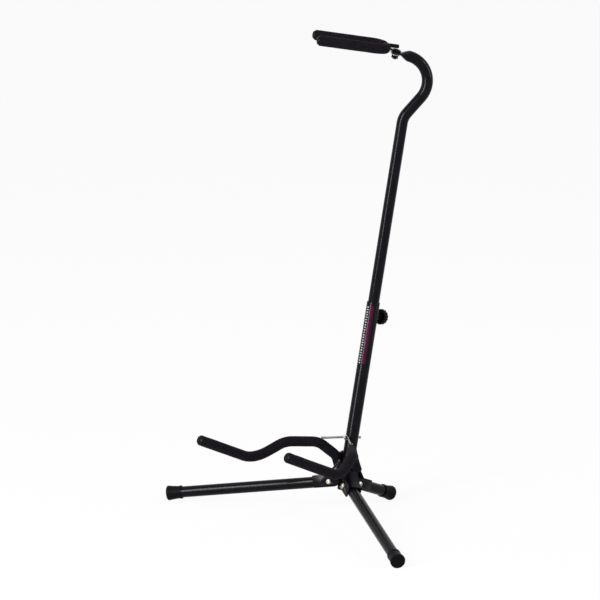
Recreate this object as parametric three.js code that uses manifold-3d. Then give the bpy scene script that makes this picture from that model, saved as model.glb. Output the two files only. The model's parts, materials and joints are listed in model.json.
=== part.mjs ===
// Folding tubular guitar stand: a leaning two-stage post on three folding legs, a padded
// two-arm body yoke held open by a wire stay, and a padded neck cradle on a gooseneck.
// Millimetres, +Z up. The stand faces -Y and its short third leg points to +Y.

import * as THREE from 'three';
import { mergeVertices } from 'three/addons/utils/BufferGeometryUtils.js';
import Module from 'manifold-3d';

const wasm = await Module();
wasm.setup();

// ---------------------------------------------------------------- driving dimensions

const seatGap = 0.3;              // between pieces that seat on each other
const holeClearance = 0.3;        // radial, round every bolt and screw

// stance
const hubHeight = 59;             // where the leg lines meet the post axis, above the floor
const postLean = 12.8;            // degrees, the post leans back over the short leg
const postTurn = 6;               // degrees, how the fittings on the post sit turned from the legs
const frontReach = 311.5;         // hub to the end of a front leg, along the floor
const rearReach = 113;            // the same for the short rear leg
const legSpread = 60;             // degrees, each front leg from straight ahead

// post
const lowerTubeRadius = 11;
const lowerTubeWall = 1.2;
const lowerTubeTop = 305;         // along the post from the hub
const lowerTubeBottom = -14;
const plugFlange = 3;
const plugStem = 10;
const upperTubeRadius = 9.5;
const upperTubeWall = 1.2;
const upperTubeBottom = 145;
const bushLength = 14;
const bushFlange = 3;

// gooseneck, in the plane of the cradle
const neckSwivel = -39;           // degrees about the post, cradle away from straight ahead
const neckStart = 609;            // end of the straight tube, along the post
const neckBackTurn = 33;          // degrees
const neckBackRadius = 32;
const neckMiddleRun = 35.6;
const neckOverTurn = 117;         // degrees
const neckOverRadius = 42;
const neckEndRun = 6;             // last round stretch
const neckFlattenRun = 9;         // tube pressed down to a tongue
const tongueRun = 16;
const tongueThickness = 5;
const tongueWidth = 23;
const tongueHoleInset = 8;        // bolt centre from the tongue's end

// clamp knob
const clampBelowTop = 25;         // from the lower tube's top
const clampBossRadius = 6.5;
const clampBossLength = 8;        // from the tube's skin
const clampScrewRadius = 3;
const knobRadius = 13.2;
const knobThickness = 9.4;
const knobNeckRadius = 6.2;
const knobNeckLength = 2.6;
const knobFlutes = 14;
const knobFluteRadius = 1.7;
const knobEdge = 1.4;

// legs
const legRadius = 9.5;
const legWall = 1.2;
const pivotReach = 26;            // leg pivot from the post axis, along the leg
const legTail = 4;                // leg end past its pivot
const legScrewRadius = 3;
const screwHeadRadius = 5;
const screwHeadHeight = 2.8;
const nutAcrossFlats = 10;
const nutHeight = 4.5;

// leg brackets, along and off the leg's centre line
const sheet = 2;
const bracketTop = 33;            // along the post
const channelStart = 8;
const channelReach = 54;
const webStart = 30;
const flangeHeight = 8;           // stretch of the strap that lies on the post
const flangeOut = 14;             // its face from the post axis
const channelSkirt = 9;           // cheeks below the leg's centre line
const bracketNose = 9;            // radius of the cheeks' lower inner corner

// foot caps
const capRadius = 12.5;           // at the end
const capCollarRadius = 11.3;
const capLength = 26;
const capEndWall = 5;
const capEdge = 1.6;
const capBead = 0.6;
const soleCut = 0.5;              // rubber worn flat where it stands

// yoke arms
const yokePivotHeight = 41;       // along the post
const eyeRadius = 7;
const eyeThickness = 3.2;
const eyeNeck = 6.4;              // flat stretch ahead of the bolt, before the round rod
const eyeInset = 0.6;             // eye's inner face off the post's side
const yokeBoltRadius = 3;
const yokeHeadRadius = 5.4;
const yokeHeadHeight = 3.4;
const yokeNutAcrossFlats = 10;
const yokeNutHeight = 5;
const armRodRadius = 4;
const armFoamRadius = 8.75;
const armTipRadius = 6;
const armTipLength = 3;
// corners of one bent arm: sideways, ahead of the post axis, along the post
const armRoot = [17.6, 10.8, 40.8];
const armShoulder = [22, 16.4, 41];
const armCrest = [37.3, 40.1, 58.2];
const armDrop = [76.2, 81.6, 51.9];
const armDip = [101.3, 127.7, 18.6];
const armEnd = [91, 290.3, 50.7];
const rightArmRaise = 1.6;        // degrees, the right arm past its crest stands higher
const armBendRadii = [10, 25, 35, 40];
const armFoamStart = 5;           // from the root, along the arm

// wire stay and its eye bolt
const eyeBoltHeight = 73;         // along the post
const eyeBoltRadius = 2;
const eyeRingWire = 1.4;          // radius of the ring's own wire
const eyeBoltTail = 24;           // behind the post axis
const eyeNutAcrossFlats = 7;
const eyeNutHeight = 3.2;
const stayRadius = 2;
const stayBend = 6;               // radius each side of the eye
const stayEnd = [27, 36, 67.2];   // sideways, ahead, along the post
const stayTail = [32, 42.6, 66.4];

// neck cradle
const cradleRodRadius = 4;
const cradleFoamRadius = 8.9;
const cradleHalfWidth = 34.5;     // between rod centre lines
const cradleBack = 50;            // crossbar, ahead of the post axis
const cradleTips = 164;           // arm tips, ahead of the post axis
const cradleCorner = 22;          // bend radius
const cradleTilt = 1;             // degrees, arms below square to the post
const rodOffset = 1.9;            // rod's centre above the strap's
const cradleRoll = 5;             // degrees, pressed end and cradle rolled, right side low
const cradleFoamGap = 20;         // bare crossbar between the foam halves
const strapThickness = 2.5;
const strapWidth = 15;
const cradleBoltRadius = 3;
const cradleHeadRadius = 6.5;
const cradleHeadHeight = 1.4;
const cradleNutAcrossFlats = 10;
const cradleNutHeight = 5;
const washerRadius = 7;
const washerThickness = 1.2;
const pegRadius = 3.4;
const pegLength = 17;
const pegLift = 4.5;              // peg centre above the strap's top face
const lugThickness = 3;

// facets
const tubeSides = 28;
const rodSides = 12;
const boreSides = 10;
const foamSides = 16;
const bendFacet = 13;             // degrees of bend to each facet
const boltSides = 16;

// ---------------------------------------------------------------- finishes

const finishes = {
  blackPaint: { color: 0x0c0b0e, roughness: 0.22, metalness: 0.2 },
  foam: { color: 0x121013, roughness: 0.95, metalness: 0 },
  rubber: { color: 0x141316, roughness: 0.6, metalness: 0 },
  plastic: { color: 0x101012, roughness: 0.5, metalness: 0 },
  zinc: { color: 0xc9c6bd, roughness: 0.28, metalness: 1 },
  chrome: { color: 0xd8d8da, roughness: 0.12, metalness: 1 },
};

// ---------------------------------------------------------------- mesh helpers

const radians = THREE.MathUtils.degToRad;

// One closed mesh: shared corners merged, slivers dropped, faces pointing out.
function closed(geometry) {
  const bare = geometry.clone();
  for (const name of ['normal', 'uv']) bare.deleteAttribute(name);
  const merged = mergeVertices(bare, 1e-4);
  const { array } = merged.index;
  const kept = [];
  for (let i = 0; i < array.length; i += 3) {
    const [a, b, c] = [array[i], array[i + 1], array[i + 2]];
    if (a !== b && b !== c && c !== a) kept.push(a, b, c);
  }
  if (signedVolume(merged.attributes.position, kept) < 0) kept.reverse();
  merged.setIndex(kept);
  return merged;
}

function signedVolume(position, index) {
  const [a, b, c] = [new THREE.Vector3(), new THREE.Vector3(), new THREE.Vector3()];
  let volume = 0;
  for (let i = 0; i < index.length; i += 3) {
    a.fromBufferAttribute(position, index[i]);
    b.fromBufferAttribute(position, index[i + 1]);
    c.fromBufferAttribute(position, index[i + 2]);
    volume += a.dot(b.cross(c)) / 6;
  }
  return volume;
}

function toSolid(geometry) {
  const mesh = closed(geometry);
  return new wasm.Manifold(new wasm.Mesh({
    numProp: 3,
    vertProperties: Float32Array.from(mesh.attributes.position.array),
    triVerts: Uint32Array.from(mesh.index.array),
  }));
}

function toGeometry(solid) {
  const mesh = solid.getMesh();
  const geometry = new THREE.BufferGeometry();
  geometry.setAttribute('position', new THREE.BufferAttribute(Float32Array.from(mesh.vertProperties), 3));
  geometry.setIndex(Array.from(mesh.triVerts));
  return geometry;
}

function cut(geometry, ...cutters) {
  return toGeometry(cutters.reduce((solid, cutter) => solid.subtract(toSolid(cutter)), toSolid(geometry)));
}

function join(first, ...others) {
  return toGeometry(others.reduce((solid, other) => solid.add(toSolid(other)), toSolid(first)));
}

// Profile of [radius, height] pairs turned round the Z axis.
function turned(profile, sides) {
  const points = profile.map(([radius, height]) => new THREE.Vector2(radius, height));
  return closed(new THREE.LatheGeometry(points, sides).rotateX(Math.PI / 2));
}

function ring(outer, inner, low, high, sides) {
  return turned([[inner, low], [outer, low], [outer, high], [inner, high], [inner, low]], sides);
}

function disc(radius, low, high, sides) {
  return turned([[0, low], [radius, low], [radius, high], [0, high]], sides);
}

// Round bar from one point to another.
function bar(from, to, radius, sides) {
  const [start, end] = [new THREE.Vector3(...from), new THREE.Vector3(...to)];
  const along = end.clone().sub(start);
  const turn = new THREE.Quaternion().setFromUnitVectors(new THREE.Vector3(0, 0, 1), along.clone().normalize());
  return disc(radius, 0, along.length(), sides).applyQuaternion(turn).translate(...from);
}

// Something turned round Z, laid so that its axis starts at a point and runs along a direction.
function aim(geometry, origin, direction) {
  const turn = new THREE.Quaternion().setFromUnitVectors(
    new THREE.Vector3(0, 0, 1), new THREE.Vector3(...direction).normalize());
  return geometry.applyQuaternion(turn).translate(...origin);
}

function prism(shape, depth) {
  return new THREE.ExtrudeGeometry(shape, { depth, bevelEnabled: false, curveSegments: 6 })
    .translate(0, 0, -depth / 2);
}

// A side outline drawn as [x, z], given a width across Y.
function sidePlate(shape, width) {
  return prism(shape, width).rotateX(Math.PI / 2);
}

function outline(points) {
  return new THREE.Shape(points.map(([x, y]) => new THREE.Vector2(x, y)));
}

function hexNut(acrossFlats, height, bore) {
  const nut = disc(acrossFlats / Math.sqrt(3), 0, height, 6);
  return cut(nut, disc(bore, -1, height + 1, boltSides));
}

// Low domed head with a flat seat, standing on Z = 0.
function domedHead(radius, height) {
  const crown = new THREE.EllipseCurve(0, 0, radius, height, 0, Math.PI / 2).getPoints(4);
  return turned([[0, 0], ...crown.map(({ x, y }) => [Math.max(x, 0), y])], boltSides);
}

// Circular bend round a corner, between two straight runs.
class Bend extends THREE.Curve {
  constructor(corner, previous, next, radius) {
    super();
    const back = previous.clone().sub(corner).normalize();
    const onward = next.clone().sub(corner).normalize();
    this.turn = Math.PI - back.angleTo(onward);
    const tangent = radius * Math.tan(this.turn / 2);
    this.start = corner.clone().addScaledVector(back, tangent);
    this.end = corner.clone().addScaledVector(onward, tangent);
    const middle = back.clone().add(onward).normalize();
    this.centre = corner.clone().addScaledVector(middle, radius / Math.cos(this.turn / 2));
    this.spoke = this.start.clone().sub(this.centre);
    this.along = back.negate().multiplyScalar(radius);
  }

  getPoint(t) {
    const angle = this.turn * t;
    return this.centre.clone().addScaledVector(this.spoke, Math.cos(angle))
      .addScaledVector(this.along, Math.sin(angle));
  }
}

// Straight runs joined by circular bends, one radius to each inner corner.
function bentPath(corners, radii) {
  const path = new THREE.CurvePath();
  const points = corners.map((point) => new THREE.Vector3(...point));
  let from = points[0];
  radii.forEach((radius, i) => {
    const bend = new Bend(points[i + 1], points[i], points[i + 2], radius);
    path.add(new THREE.LineCurve3(from, bend.start));
    path.add(bend);
    from = bend.end;
  });
  path.add(new THREE.LineCurve3(from, points[points.length - 1]));
  return path;
}

// Shares of a path's length where its facets meet: bend facets, and none along a straight run.
function facetShares(path, start, end) {
  const lengths = path.getCurveLengths();
  const total = lengths[lengths.length - 1];
  const shares = [];
  path.curves.forEach((curve, i) => {
    const before = i > 0 ? lengths[i - 1] : 0;
    const steps = curve.turn ? Math.ceil(curve.turn / radians(bendFacet)) : 1;
    for (let step = 1; step <= steps; step += 1) {
      shares.push((before + ((lengths[i] - before) * step) / steps) / total);
    }
  });
  const close = 1 / total;
  return [start, ...shares.filter((share) => share > start + close && share < end - close), end];
}

// A path read only at its facet joints.
class Facets extends THREE.Curve {
  constructor(path, start = 0, end = 1) {
    super();
    this.path = path;
    this.shares = facetShares(path, start, end);
  }

  share(u) {
    return this.shares[Math.round(u * (this.shares.length - 1))];
  }

  getPointAt(u) {
    return this.path.getPoint(this.share(u));
  }

  getTangentAt(u, target) {
    return this.path.getTangent(this.share(u), target);
  }
}

function circle(radius, sides) {
  return Array.from({ length: sides }, (_, i) => {
    const angle = (i / sides) * Math.PI * 2;
    return new THREE.Vector2(radius * Math.cos(angle), radius * Math.sin(angle));
  });
}

// Round bar, or sleeve, along a path between two shares of its length.
function swept(path, radius, sides, { start = 0, end = 1, bore = 0 } = {}) {
  const section = new THREE.Shape(circle(radius, sides));
  if (bore > 0) section.holes.push(new THREE.Path(circle(bore, boreSides)));
  const facets = new Facets(path, start, end);
  const steps = facets.shares.length - 1;
  return closed(new THREE.ExtrudeGeometry(section, { steps, bevelEnabled: false, extrudePath: facets }));
}

// Skin through rings of points, closed at both ends; each ring is a list of Vector3.
function lofted(rings) {
  const sides = rings[0].length;
  const points = rings.flat();
  const index = [];
  for (let ringAt = 0; ringAt < rings.length - 1; ringAt += 1) {
    for (let side = 0; side < sides; side += 1) {
      const [a, b] = [ringAt * sides + side, ringAt * sides + ((side + 1) % sides)];
      index.push(a, b, b + sides, a, b + sides, a + sides);
    }
  }
  const last = (rings.length - 1) * sides;
  for (let side = 1; side < sides - 1; side += 1) {
    index.push(0, side + 1, side, last, last + side, last + side + 1);
  }
  const geometry = new THREE.BufferGeometry().setFromPoints(points);
  geometry.setIndex(index);
  return closed(geometry);
}

function piece(name, geometry, finish, parent) {
  const mesh = new THREE.Mesh(closed(geometry), new THREE.MeshStandardMaterial(finishes[finish]));
  mesh.name = name;
  parent.add(mesh);
  return mesh;
}

// ---------------------------------------------------------------- stance

const stand = new THREE.Group();
const post = new THREE.Group();     // Z runs up the post, -Y is ahead of it
post.position.set(0, 0, hubHeight);
post.rotation.x = -radians(postLean);
stand.add(post);
const fittings = new THREE.Group(); // what sits turned on the post
fittings.rotation.z = radians(postTurn);
post.add(fittings);

const hub = new THREE.Vector3(0, 0, hubHeight);
const postAxis = new THREE.Vector3(0, Math.sin(radians(postLean)), Math.cos(radians(postLean)));

const spreadSine = Math.sin(radians(legSpread));
const spreadCosine = Math.cos(radians(legSpread));

// headSide tells which way along its hinge each leg screw's head points
const legs = [
  { side: 'left', ahead: [-spreadSine, -spreadCosine], reach: frontReach, headSide: 1 },
  { side: 'right', ahead: [spreadSine, -spreadCosine], reach: frontReach, headSide: -1 },
  { side: 'rear', ahead: [0, 1], reach: rearReach, headSide: -1 },
];

// Slope at which a leg of this reach stands on its cap's rim, worn by the sole cut.
function legSlope(reach) {
  let slope = 0;
  for (let i = 0; i < 30; i += 1) {
    slope = Math.atan2(hubHeight - capRadius * Math.cos(slope) + soleCut, reach);
  }
  return slope;
}

// Frame of one leg: X square out from the post, Y along the leg's hinge, Z up the post.
function placeLeg(leg) {
  const slope = legSlope(leg.reach);
  const along = new THREE.Vector3(leg.ahead[0] * Math.cos(slope), leg.ahead[1] * Math.cos(slope), -Math.sin(slope));
  const hinge = postAxis.clone().cross(along).normalize();
  const out = hinge.clone().cross(postAxis);
  leg.droop = Math.atan2(-along.dot(postAxis), along.dot(out));
  leg.length = leg.reach / Math.cos(slope);
  leg.bracket = new THREE.Group();
  leg.bracket.applyMatrix4(new THREE.Matrix4().makeBasis(out, hinge, postAxis).setPosition(hub));
  leg.arm = new THREE.Group();      // X runs down the leg from the hub
  leg.arm.rotation.y = leg.droop;
  leg.bracket.add(leg.arm);
  stand.add(leg.bracket);
  stand.updateMatrixWorld(true);
}
legs.forEach(placeLeg);

// ---------------------------------------------------------------- post tubes

const clampHeight = lowerTubeTop - clampBelowTop;

function makeLowerTube() {
  const tube = ring(lowerTubeRadius, lowerTubeRadius - lowerTubeWall, lowerTubeBottom, lowerTubeTop, tubeSides);
  const through = lowerTubeRadius + 2;
  const holes = [
    bar([0, -through, eyeBoltHeight], [0, through, eyeBoltHeight], eyeBoltRadius + holeClearance, boltSides),
    bar([-through, 0, yokePivotHeight], [through, 0, yokePivotHeight], yokeBoltRadius + holeClearance, boltSides),
    bar([0, 0, clampHeight], [0, through, clampHeight], clampScrewRadius + holeClearance, boltSides),
  ];
  piece('lower_tube', cut(tube, ...holes), 'blackPaint', fittings);
}

function makeBottomPlug() {
  const bore = lowerTubeRadius - lowerTubeWall - seatGap;
  const seat = lowerTubeBottom - seatGap;
  piece('bottom_plug', turned([
    [0, seat - plugFlange], [lowerTubeRadius - 1, seat - plugFlange], [lowerTubeRadius, seat - plugFlange + 1],
    [lowerTubeRadius, seat], [bore, seat], [bore, seat + plugStem], [bore - 2, seat + plugStem],
    [bore - 2, seat], [0, seat],
  ], tubeSides), 'plastic', post);
}

// Centre line of the tube from its foot to the start of the pressed end, drawn ahead and up.
function neckStations() {
  const stations = [{ ahead: 0, up: upperTubeBottom, heading: 0 }];
  let state = { ahead: 0, up: neckStart, heading: 0 };
  const push = () => stations.push({ ...state });
  push();
  const turn = (degreesTurned, radius, steps) => {
    const step = radians(degreesTurned) / steps;
    for (let i = 0; i < steps; i += 1) {
      const middle = state.heading + step / 2;
      const chord = 2 * radius * Math.sin(Math.abs(step) / 2);
      state = { ahead: state.ahead + chord * Math.sin(middle), up: state.up + chord * Math.cos(middle),
        heading: state.heading + step };
      push();
    }
  };
  const run = (length) => {
    state = { ...state, ahead: state.ahead + length * Math.sin(state.heading),
      up: state.up + length * Math.cos(state.heading) };
    push();
  };
  turn(-neckBackTurn, neckBackRadius, 5);
  run(neckMiddleRun);
  turn(neckOverTurn, neckOverRadius, 11);
  run(neckEndRun);
  return stations;
}

// Ring of a round or flattened section square to the heading at a station, rolled about it.
function neckRing({ ahead, up, heading }, halfThick, halfWide, roll = 0) {
  const [side, normal] = sectionAxes(heading, roll);
  const power = halfThick === halfWide ? 1 : 0.55;
  return circle(1, tubeSides).map(({ x, y }) => new THREE.Vector3(0, -ahead, up)
    .addScaledVector(side, Math.sign(x) * Math.abs(x) ** power * halfWide)
    .addScaledVector(normal, Math.sign(y) * Math.abs(y) ** power * halfThick));
}

// Sideways and upward directions of a section whose tube heads so far over from the post.
function sectionAxes(heading, roll) {
  const normal = new THREE.Vector3(0, Math.cos(heading), Math.sin(heading));
  const side = new THREE.Vector3(1, 0, 0);
  return [
    side.clone().multiplyScalar(Math.cos(roll)).addScaledVector(normal, -Math.sin(roll)),
    normal.clone().multiplyScalar(Math.cos(roll)).addScaledVector(side, Math.sin(roll)),
  ];
}

function onward(station, length) {
  return { ...station, ahead: station.ahead + length * Math.sin(station.heading),
    up: station.up + length * Math.cos(station.heading) };
}

const neck = new THREE.Group();     // turns with the upper tube
neck.rotation.z = radians(neckSwivel);
post.add(neck);

const neckLine = neckStations();
const neckEnd = neckLine[neckLine.length - 1];
const tongueStart = onward(neckEnd, neckFlattenRun);
const tongueEnd = onward(tongueStart, tongueRun);
const cradleBoltAt = onward(tongueEnd, -tongueHoleInset);

// Frame of the pressed end: X across it, Z out of its flat, -Y onward, at the cradle bolt.
const tongue = new THREE.Group();
const [tongueSide, tongueNormal] = sectionAxes(neckEnd.heading, radians(cradleRoll));
tongue.applyMatrix4(new THREE.Matrix4()
  .makeBasis(tongueSide, tongueNormal.clone().cross(tongueSide), tongueNormal)
  .setPosition(0, -cradleBoltAt.ahead, cradleBoltAt.up));
neck.add(tongue);
tongue.updateMatrix();

function makeUpperTube() {
  const skin = neckLine.map((station) => neckRing(station, upperTubeRadius, upperTubeRadius));
  const roll = radians(cradleRoll);
  skin.push(neckRing(onward(neckEnd, neckFlattenRun / 2), (upperTubeRadius + tongueThickness / 2) / 2,
    (upperTubeRadius + tongueWidth / 2) / 2, roll / 2));
  for (const station of [tongueStart, tongueEnd]) {
    skin.push(neckRing(station, tongueThickness / 2, tongueWidth / 2, roll));
  }
  const boreRadius = upperTubeRadius - upperTubeWall;
  const bore = neckLine.map((station) => neckRing(station, boreRadius, boreRadius));
  bore[0] = neckRing({ ...neckLine[0], up: upperTubeBottom - 1 }, boreRadius, boreRadius);
  const hole = disc(cradleBoltRadius + holeClearance, -tongueThickness, tongueThickness, boltSides)
    .applyMatrix4(tongue.matrix);
  piece('upper_tube', cut(lofted(skin), lofted(bore), hole), 'blackPaint', neck);
}

function makeGuideBush() {
  const outer = lowerTubeRadius - lowerTubeWall - seatGap;
  const stem = upperTubeRadius - upperTubeWall - seatGap;
  const seat = upperTubeBottom - seatGap;
  piece('guide_bush', turned([
    [stem - 2.5, seat - bushFlange], [outer, seat - bushFlange], [outer, seat], [stem, seat],
    [stem, seat + bushLength], [stem - 2.5, seat + bushLength], [stem - 2.5, seat - bushFlange],
  ], tubeSides), 'plastic', post);
}

// ---------------------------------------------------------------- clamp

const bossEnd = lowerTubeRadius + clampBossLength;
const knobFace = bossEnd + 0.5;

function makeClamp() {
  const boss = bar([0, 0, clampHeight], [0, bossEnd, clampHeight], clampBossRadius, 24);
  const seat = disc(lowerTubeRadius + seatGap, clampHeight - 20, clampHeight + 20, tubeSides);
  const bore = bar([0, 0, clampHeight], [0, bossEnd + 1, clampHeight], clampScrewRadius + holeClearance, boltSides);
  piece('clamp_boss', cut(boss, seat, bore), 'blackPaint', fittings);

  const knob = new THREE.Group();
  knob.position.set(0, knobFace, clampHeight);
  knob.rotation.x = -Math.PI / 2;   // Z points back, out of the knob
  fittings.add(knob);
  const screwDepth = knobNeckLength + knobThickness * 0.6;
  const flutes = Array.from({ length: knobFlutes }, (_, i) => {
    const angle = (i / knobFlutes) * Math.PI * 2;
    const [x, y] = [knobRadius * Math.cos(angle), knobRadius * Math.sin(angle)];
    return disc(knobFluteRadius, 0, knobThickness + knobNeckLength + 1, 10).translate(x, y, 0);
  });
  const low = knobNeckLength;
  const high = knobNeckLength + knobThickness;
  const body = turned([
    [0, 0], [knobNeckRadius, 0], [knobNeckRadius, low], [knobRadius - knobEdge, low],
    [knobRadius, low + knobEdge], [knobRadius, high - knobEdge], [knobRadius - knobEdge, high],
    [knobRadius * 0.55, high], [knobRadius * 0.5, high - 0.8], [0, high - 0.8],
  ], knobFlutes * 3);
  const socket = disc(clampScrewRadius + seatGap, -1, screwDepth + seatGap, boltSides);
  piece('clamp_knob', cut(body, ...flutes, socket), 'plastic', knob);
  const screwTip = upperTubeRadius + seatGap - knobFace;
  piece('clamp_screw', turned([
    [0, screwTip], [clampScrewRadius - 0.8, screwTip], [clampScrewRadius, screwTip + 0.8],
    [clampScrewRadius, screwDepth], [0, screwDepth],
  ], boltSides), 'zinc', knob);
}

// ---------------------------------------------------------------- legs

const channelHalf = legRadius + seatGap;          // inside the cheeks
const cheekOuter = channelHalf + sheet;

// A point given square out from the post axis and up it, as [along, off] the leg.
function byLeg(leg, out, up) {
  return [out * Math.cos(leg.droop) - up * Math.sin(leg.droop), out * Math.sin(leg.droop) + up * Math.cos(leg.droop)];
}

// One pressed bracket: two cheeks, a web over the leg as its stop, and a strap slanting up to the post.
function makeBracket(leg) {
  const cheek = new THREE.Shape();
  cheek.moveTo(channelStart, channelHalf);
  cheek.lineTo(channelStart, bracketNose - channelSkirt);
  cheek.absarc(channelStart + bracketNose, bracketNose - channelSkirt, bracketNose, Math.PI, Math.PI * 1.5, false);
  cheek.lineTo(channelReach - 3, -channelSkirt);
  cheek.lineTo(channelReach, -channelSkirt + 3);
  cheek.lineTo(channelReach, cheekOuter);
  cheek.lineTo(webStart, cheekOuter);
  cheek.lineTo(webStart, channelHalf);
  const flangeBack = lowerTubeRadius - 2;
  const strap = outline([
    [webStart, channelHalf], [webStart + sheet, cheekOuter], byLeg(leg, flangeOut, bracketTop - flangeHeight / 2),
    byLeg(leg, flangeOut, bracketTop), byLeg(leg, flangeBack, bracketTop),
    byLeg(leg, flangeBack, bracketTop - flangeHeight), byLeg(leg, flangeOut - sheet, bracketTop - flangeHeight),
  ]);
  const channel = cut(sidePlate(cheek, cheekOuter * 2),
    sidePlate(outline([[0, -40], [0, 40], [webStart, 40], [webStart, channelHalf],
      [channelReach + 9, channelHalf], [channelReach + 9, -40]]), channelHalf * 2));
  const hole = bar([pivotReach, -20, 0], [pivotReach, 20, 0], legScrewRadius + holeClearance, boltSides);
  const postBore = disc(lowerTubeRadius + seatGap, -80, 80, tubeSides).rotateY(-leg.droop);
  piece(`leg_bracket_${leg.side}`, cut(join(channel, sidePlate(strap, cheekOuter * 2)), postBore, hole),
    'blackPaint', leg.arm);
}

function makeLegTube(leg) {
  const end = leg.length - capEndWall;
  const tube = aim(ring(legRadius, legRadius - legWall, pivotReach - legTail, end - seatGap, tubeSides), [0, 0, 0], [1, 0, 0]);
  const hole = bar([pivotReach, -20, 0], [pivotReach, 20, 0], legScrewRadius + holeClearance, boltSides);
  piece(`leg_tube_${leg.side}`, cut(tube, hole), 'blackPaint', leg.arm);
}

// Push-on rubber cap, its end rim worn flat by the floor.
function makeFootCap(leg) {
  const [mouth, end] = [leg.length - capLength, leg.length];
  const inner = legRadius + seatGap;
  const cap = aim(turned([
    [0, end - capEndWall], [inner, end - capEndWall], [inner, mouth], [capCollarRadius - 0.4, mouth],
    [capCollarRadius, mouth + 0.8], [capCollarRadius, mouth + 4], [capCollarRadius - capBead, mouth + 5],
    [capRadius - 0.6, end - 7], [capRadius, end - 4], [capRadius, end - capEdge],
    [capRadius - capEdge * 0.3, end - capEdge * 0.3], [capRadius - capEdge, end], [0, end],
  ], tubeSides + 4), [0, 0, 0], [1, 0, 0]);
  const floor = new THREE.BoxGeometry(2000, 2000, 100).translate(0, 0, -50)
    .applyMatrix4(leg.arm.matrixWorld.clone().invert());
  piece(`foot_cap_${leg.side}`, cut(cap, floor), 'rubber', leg.arm);
}

function makeLegScrew(leg) {
  const at = (off) => [pivotReach, off * leg.headSide, 0];
  const outward = [0, leg.headSide, 0];
  const face = cheekOuter + seatGap;
  const shank = bar(at(-face - nutHeight - 1.5), at(face + 0.5), legScrewRadius, boltSides);
  const head = aim(domedHead(screwHeadRadius, screwHeadHeight), at(face), outward);
  const socket = aim(disc(1.8, 0, 3, 6), at(face + screwHeadHeight - 1.4), outward);
  piece(`leg_screw_${leg.side}`, cut(join(shank, head), socket), 'zinc', leg.arm);
  const nut = hexNut(nutAcrossFlats, nutHeight, legScrewRadius + holeClearance);
  piece(`leg_nut_${leg.side}`, aim(nut, at(-face), [0, -leg.headSide, 0]), 'zinc', leg.arm);
}

// ---------------------------------------------------------------- body yoke

const eyeInner = lowerTubeRadius + eyeInset;
const eyeOuter = eyeInner + eyeThickness;

// A corner given sideways, ahead and up, on the left (-1) or right (+1).
const corner = ([sideways, ahead, up], hand) => [sideways * hand, -ahead, up];

function armPath(hand) {
  const raise = hand > 0 ? radians(rightArmRaise) : 0;
  const past = [armDrop, armDip, armEnd].map(([sideways, ahead, up]) => {
    const lift = up - yokePivotHeight;
    return [sideways, ahead * Math.cos(raise) - lift * Math.sin(raise),
      yokePivotHeight + ahead * Math.sin(raise) + lift * Math.cos(raise)];
  });
  return bentPath([armRoot, armShoulder, armCrest, ...past].map((point) => corner(point, hand)), armBendRadii);
}

// Ring of a section round a point, square to a direction; wide runs up the post.
function sectionRing(centre, direction, halfThick, halfWide) {
  const heading = new THREE.Vector3(...direction).normalize();
  const across = new THREE.Vector3(0, 0, 1).cross(heading).normalize();
  const upward = heading.clone().cross(across);
  return circle(1, rodSides).map(({ x, y }) => new THREE.Vector3(...centre)
    .addScaledVector(across, x * halfThick).addScaledVector(upward, y * halfWide));
}

// Rod end pressed flat into an eye round the yoke bolt, swelling into the round rod.
function eyeGeometry(hand) {
  const middle = hand * (eyeInner + eyeThickness / 2);
  const ears = outline([[0, -armRodRadius], [eyeNeck, -armRodRadius], [eyeNeck, armRodRadius], [0, armRodRadius]]);
  const stand = (shape) => prism(shape, eyeThickness).rotateX(Math.PI / 2).rotateZ(-Math.PI / 2);
  const plate = join(stand(outline(circle(eyeRadius, tubeSides).map(({ x, y }) => [x, y]))), stand(ears))
    .translate(middle, 0, yokePivotHeight);
  const root = corner(armRoot, hand);
  const shoulder = corner(armShoulder, hand);
  const onward = root.map((value, i) => shoulder[i] - value);
  const swell = lofted([
    sectionRing([middle, -eyeNeck + 1, yokePivotHeight], [0, -1, 0], eyeThickness / 2, armRodRadius),
    sectionRing([middle, -eyeNeck, yokePivotHeight], [0, -1, 0], eyeThickness / 2, armRodRadius),
    sectionRing(root, onward, armRodRadius, armRodRadius),
    sectionRing(root.map((value, i) => value + onward[i] * 0.2), onward, armRodRadius, armRodRadius),
  ]);
  return join(plate, swell);
}

function makeYokeArm(hand, side) {
  const path = armPath(hand);
  const hole = bar([hand * (eyeInner - 5), 0, yokePivotHeight], [hand * (eyeOuter + 5), 0, yokePivotHeight],
    yokeBoltRadius + holeClearance, boltSides);
  const rod = join(eyeGeometry(hand), swept(path, armRodRadius, rodSides));
  piece(`yoke_rod_${side}`, cut(rod, hole), 'blackPaint', fittings);
  const sleeve = swept(path, armFoamRadius, foamSides,
    { start: armFoamStart / path.getLength(), bore: armRodRadius + holeClearance * 2 });
  piece(`yoke_foam_${side}`, sleeve, 'foam', fittings);
  const outward = path.getTangent(1);
  const seat = path.getPoint(1).addScaledVector(outward, seatGap);
  const button = aim(domedHead(armTipRadius, armTipLength), seat.toArray(), outward.toArray());
  piece(`yoke_tip_${side}`, button, 'plastic', fittings);
}

function makeYokeBolt() {
  const face = eyeOuter + seatGap;
  const shank = bar([-face - yokeNutHeight - 2, 0, yokePivotHeight], [face + 0.5, 0, yokePivotHeight], yokeBoltRadius, boltSides);
  const head = aim(domedHead(yokeHeadRadius, yokeHeadHeight), [face, 0, yokePivotHeight], [1, 0, 0]);
  piece('yoke_bolt', join(shank, head), 'zinc', fittings);
  const nut = aim(hexNut(yokeNutAcrossFlats, yokeNutHeight, yokeBoltRadius + holeClearance),
    [-face, 0, yokePivotHeight], [-1, 0, 0]);
  piece('yoke_nut', nut, 'zinc', fittings);
}

// ---------------------------------------------------------------- wire stay

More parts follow.
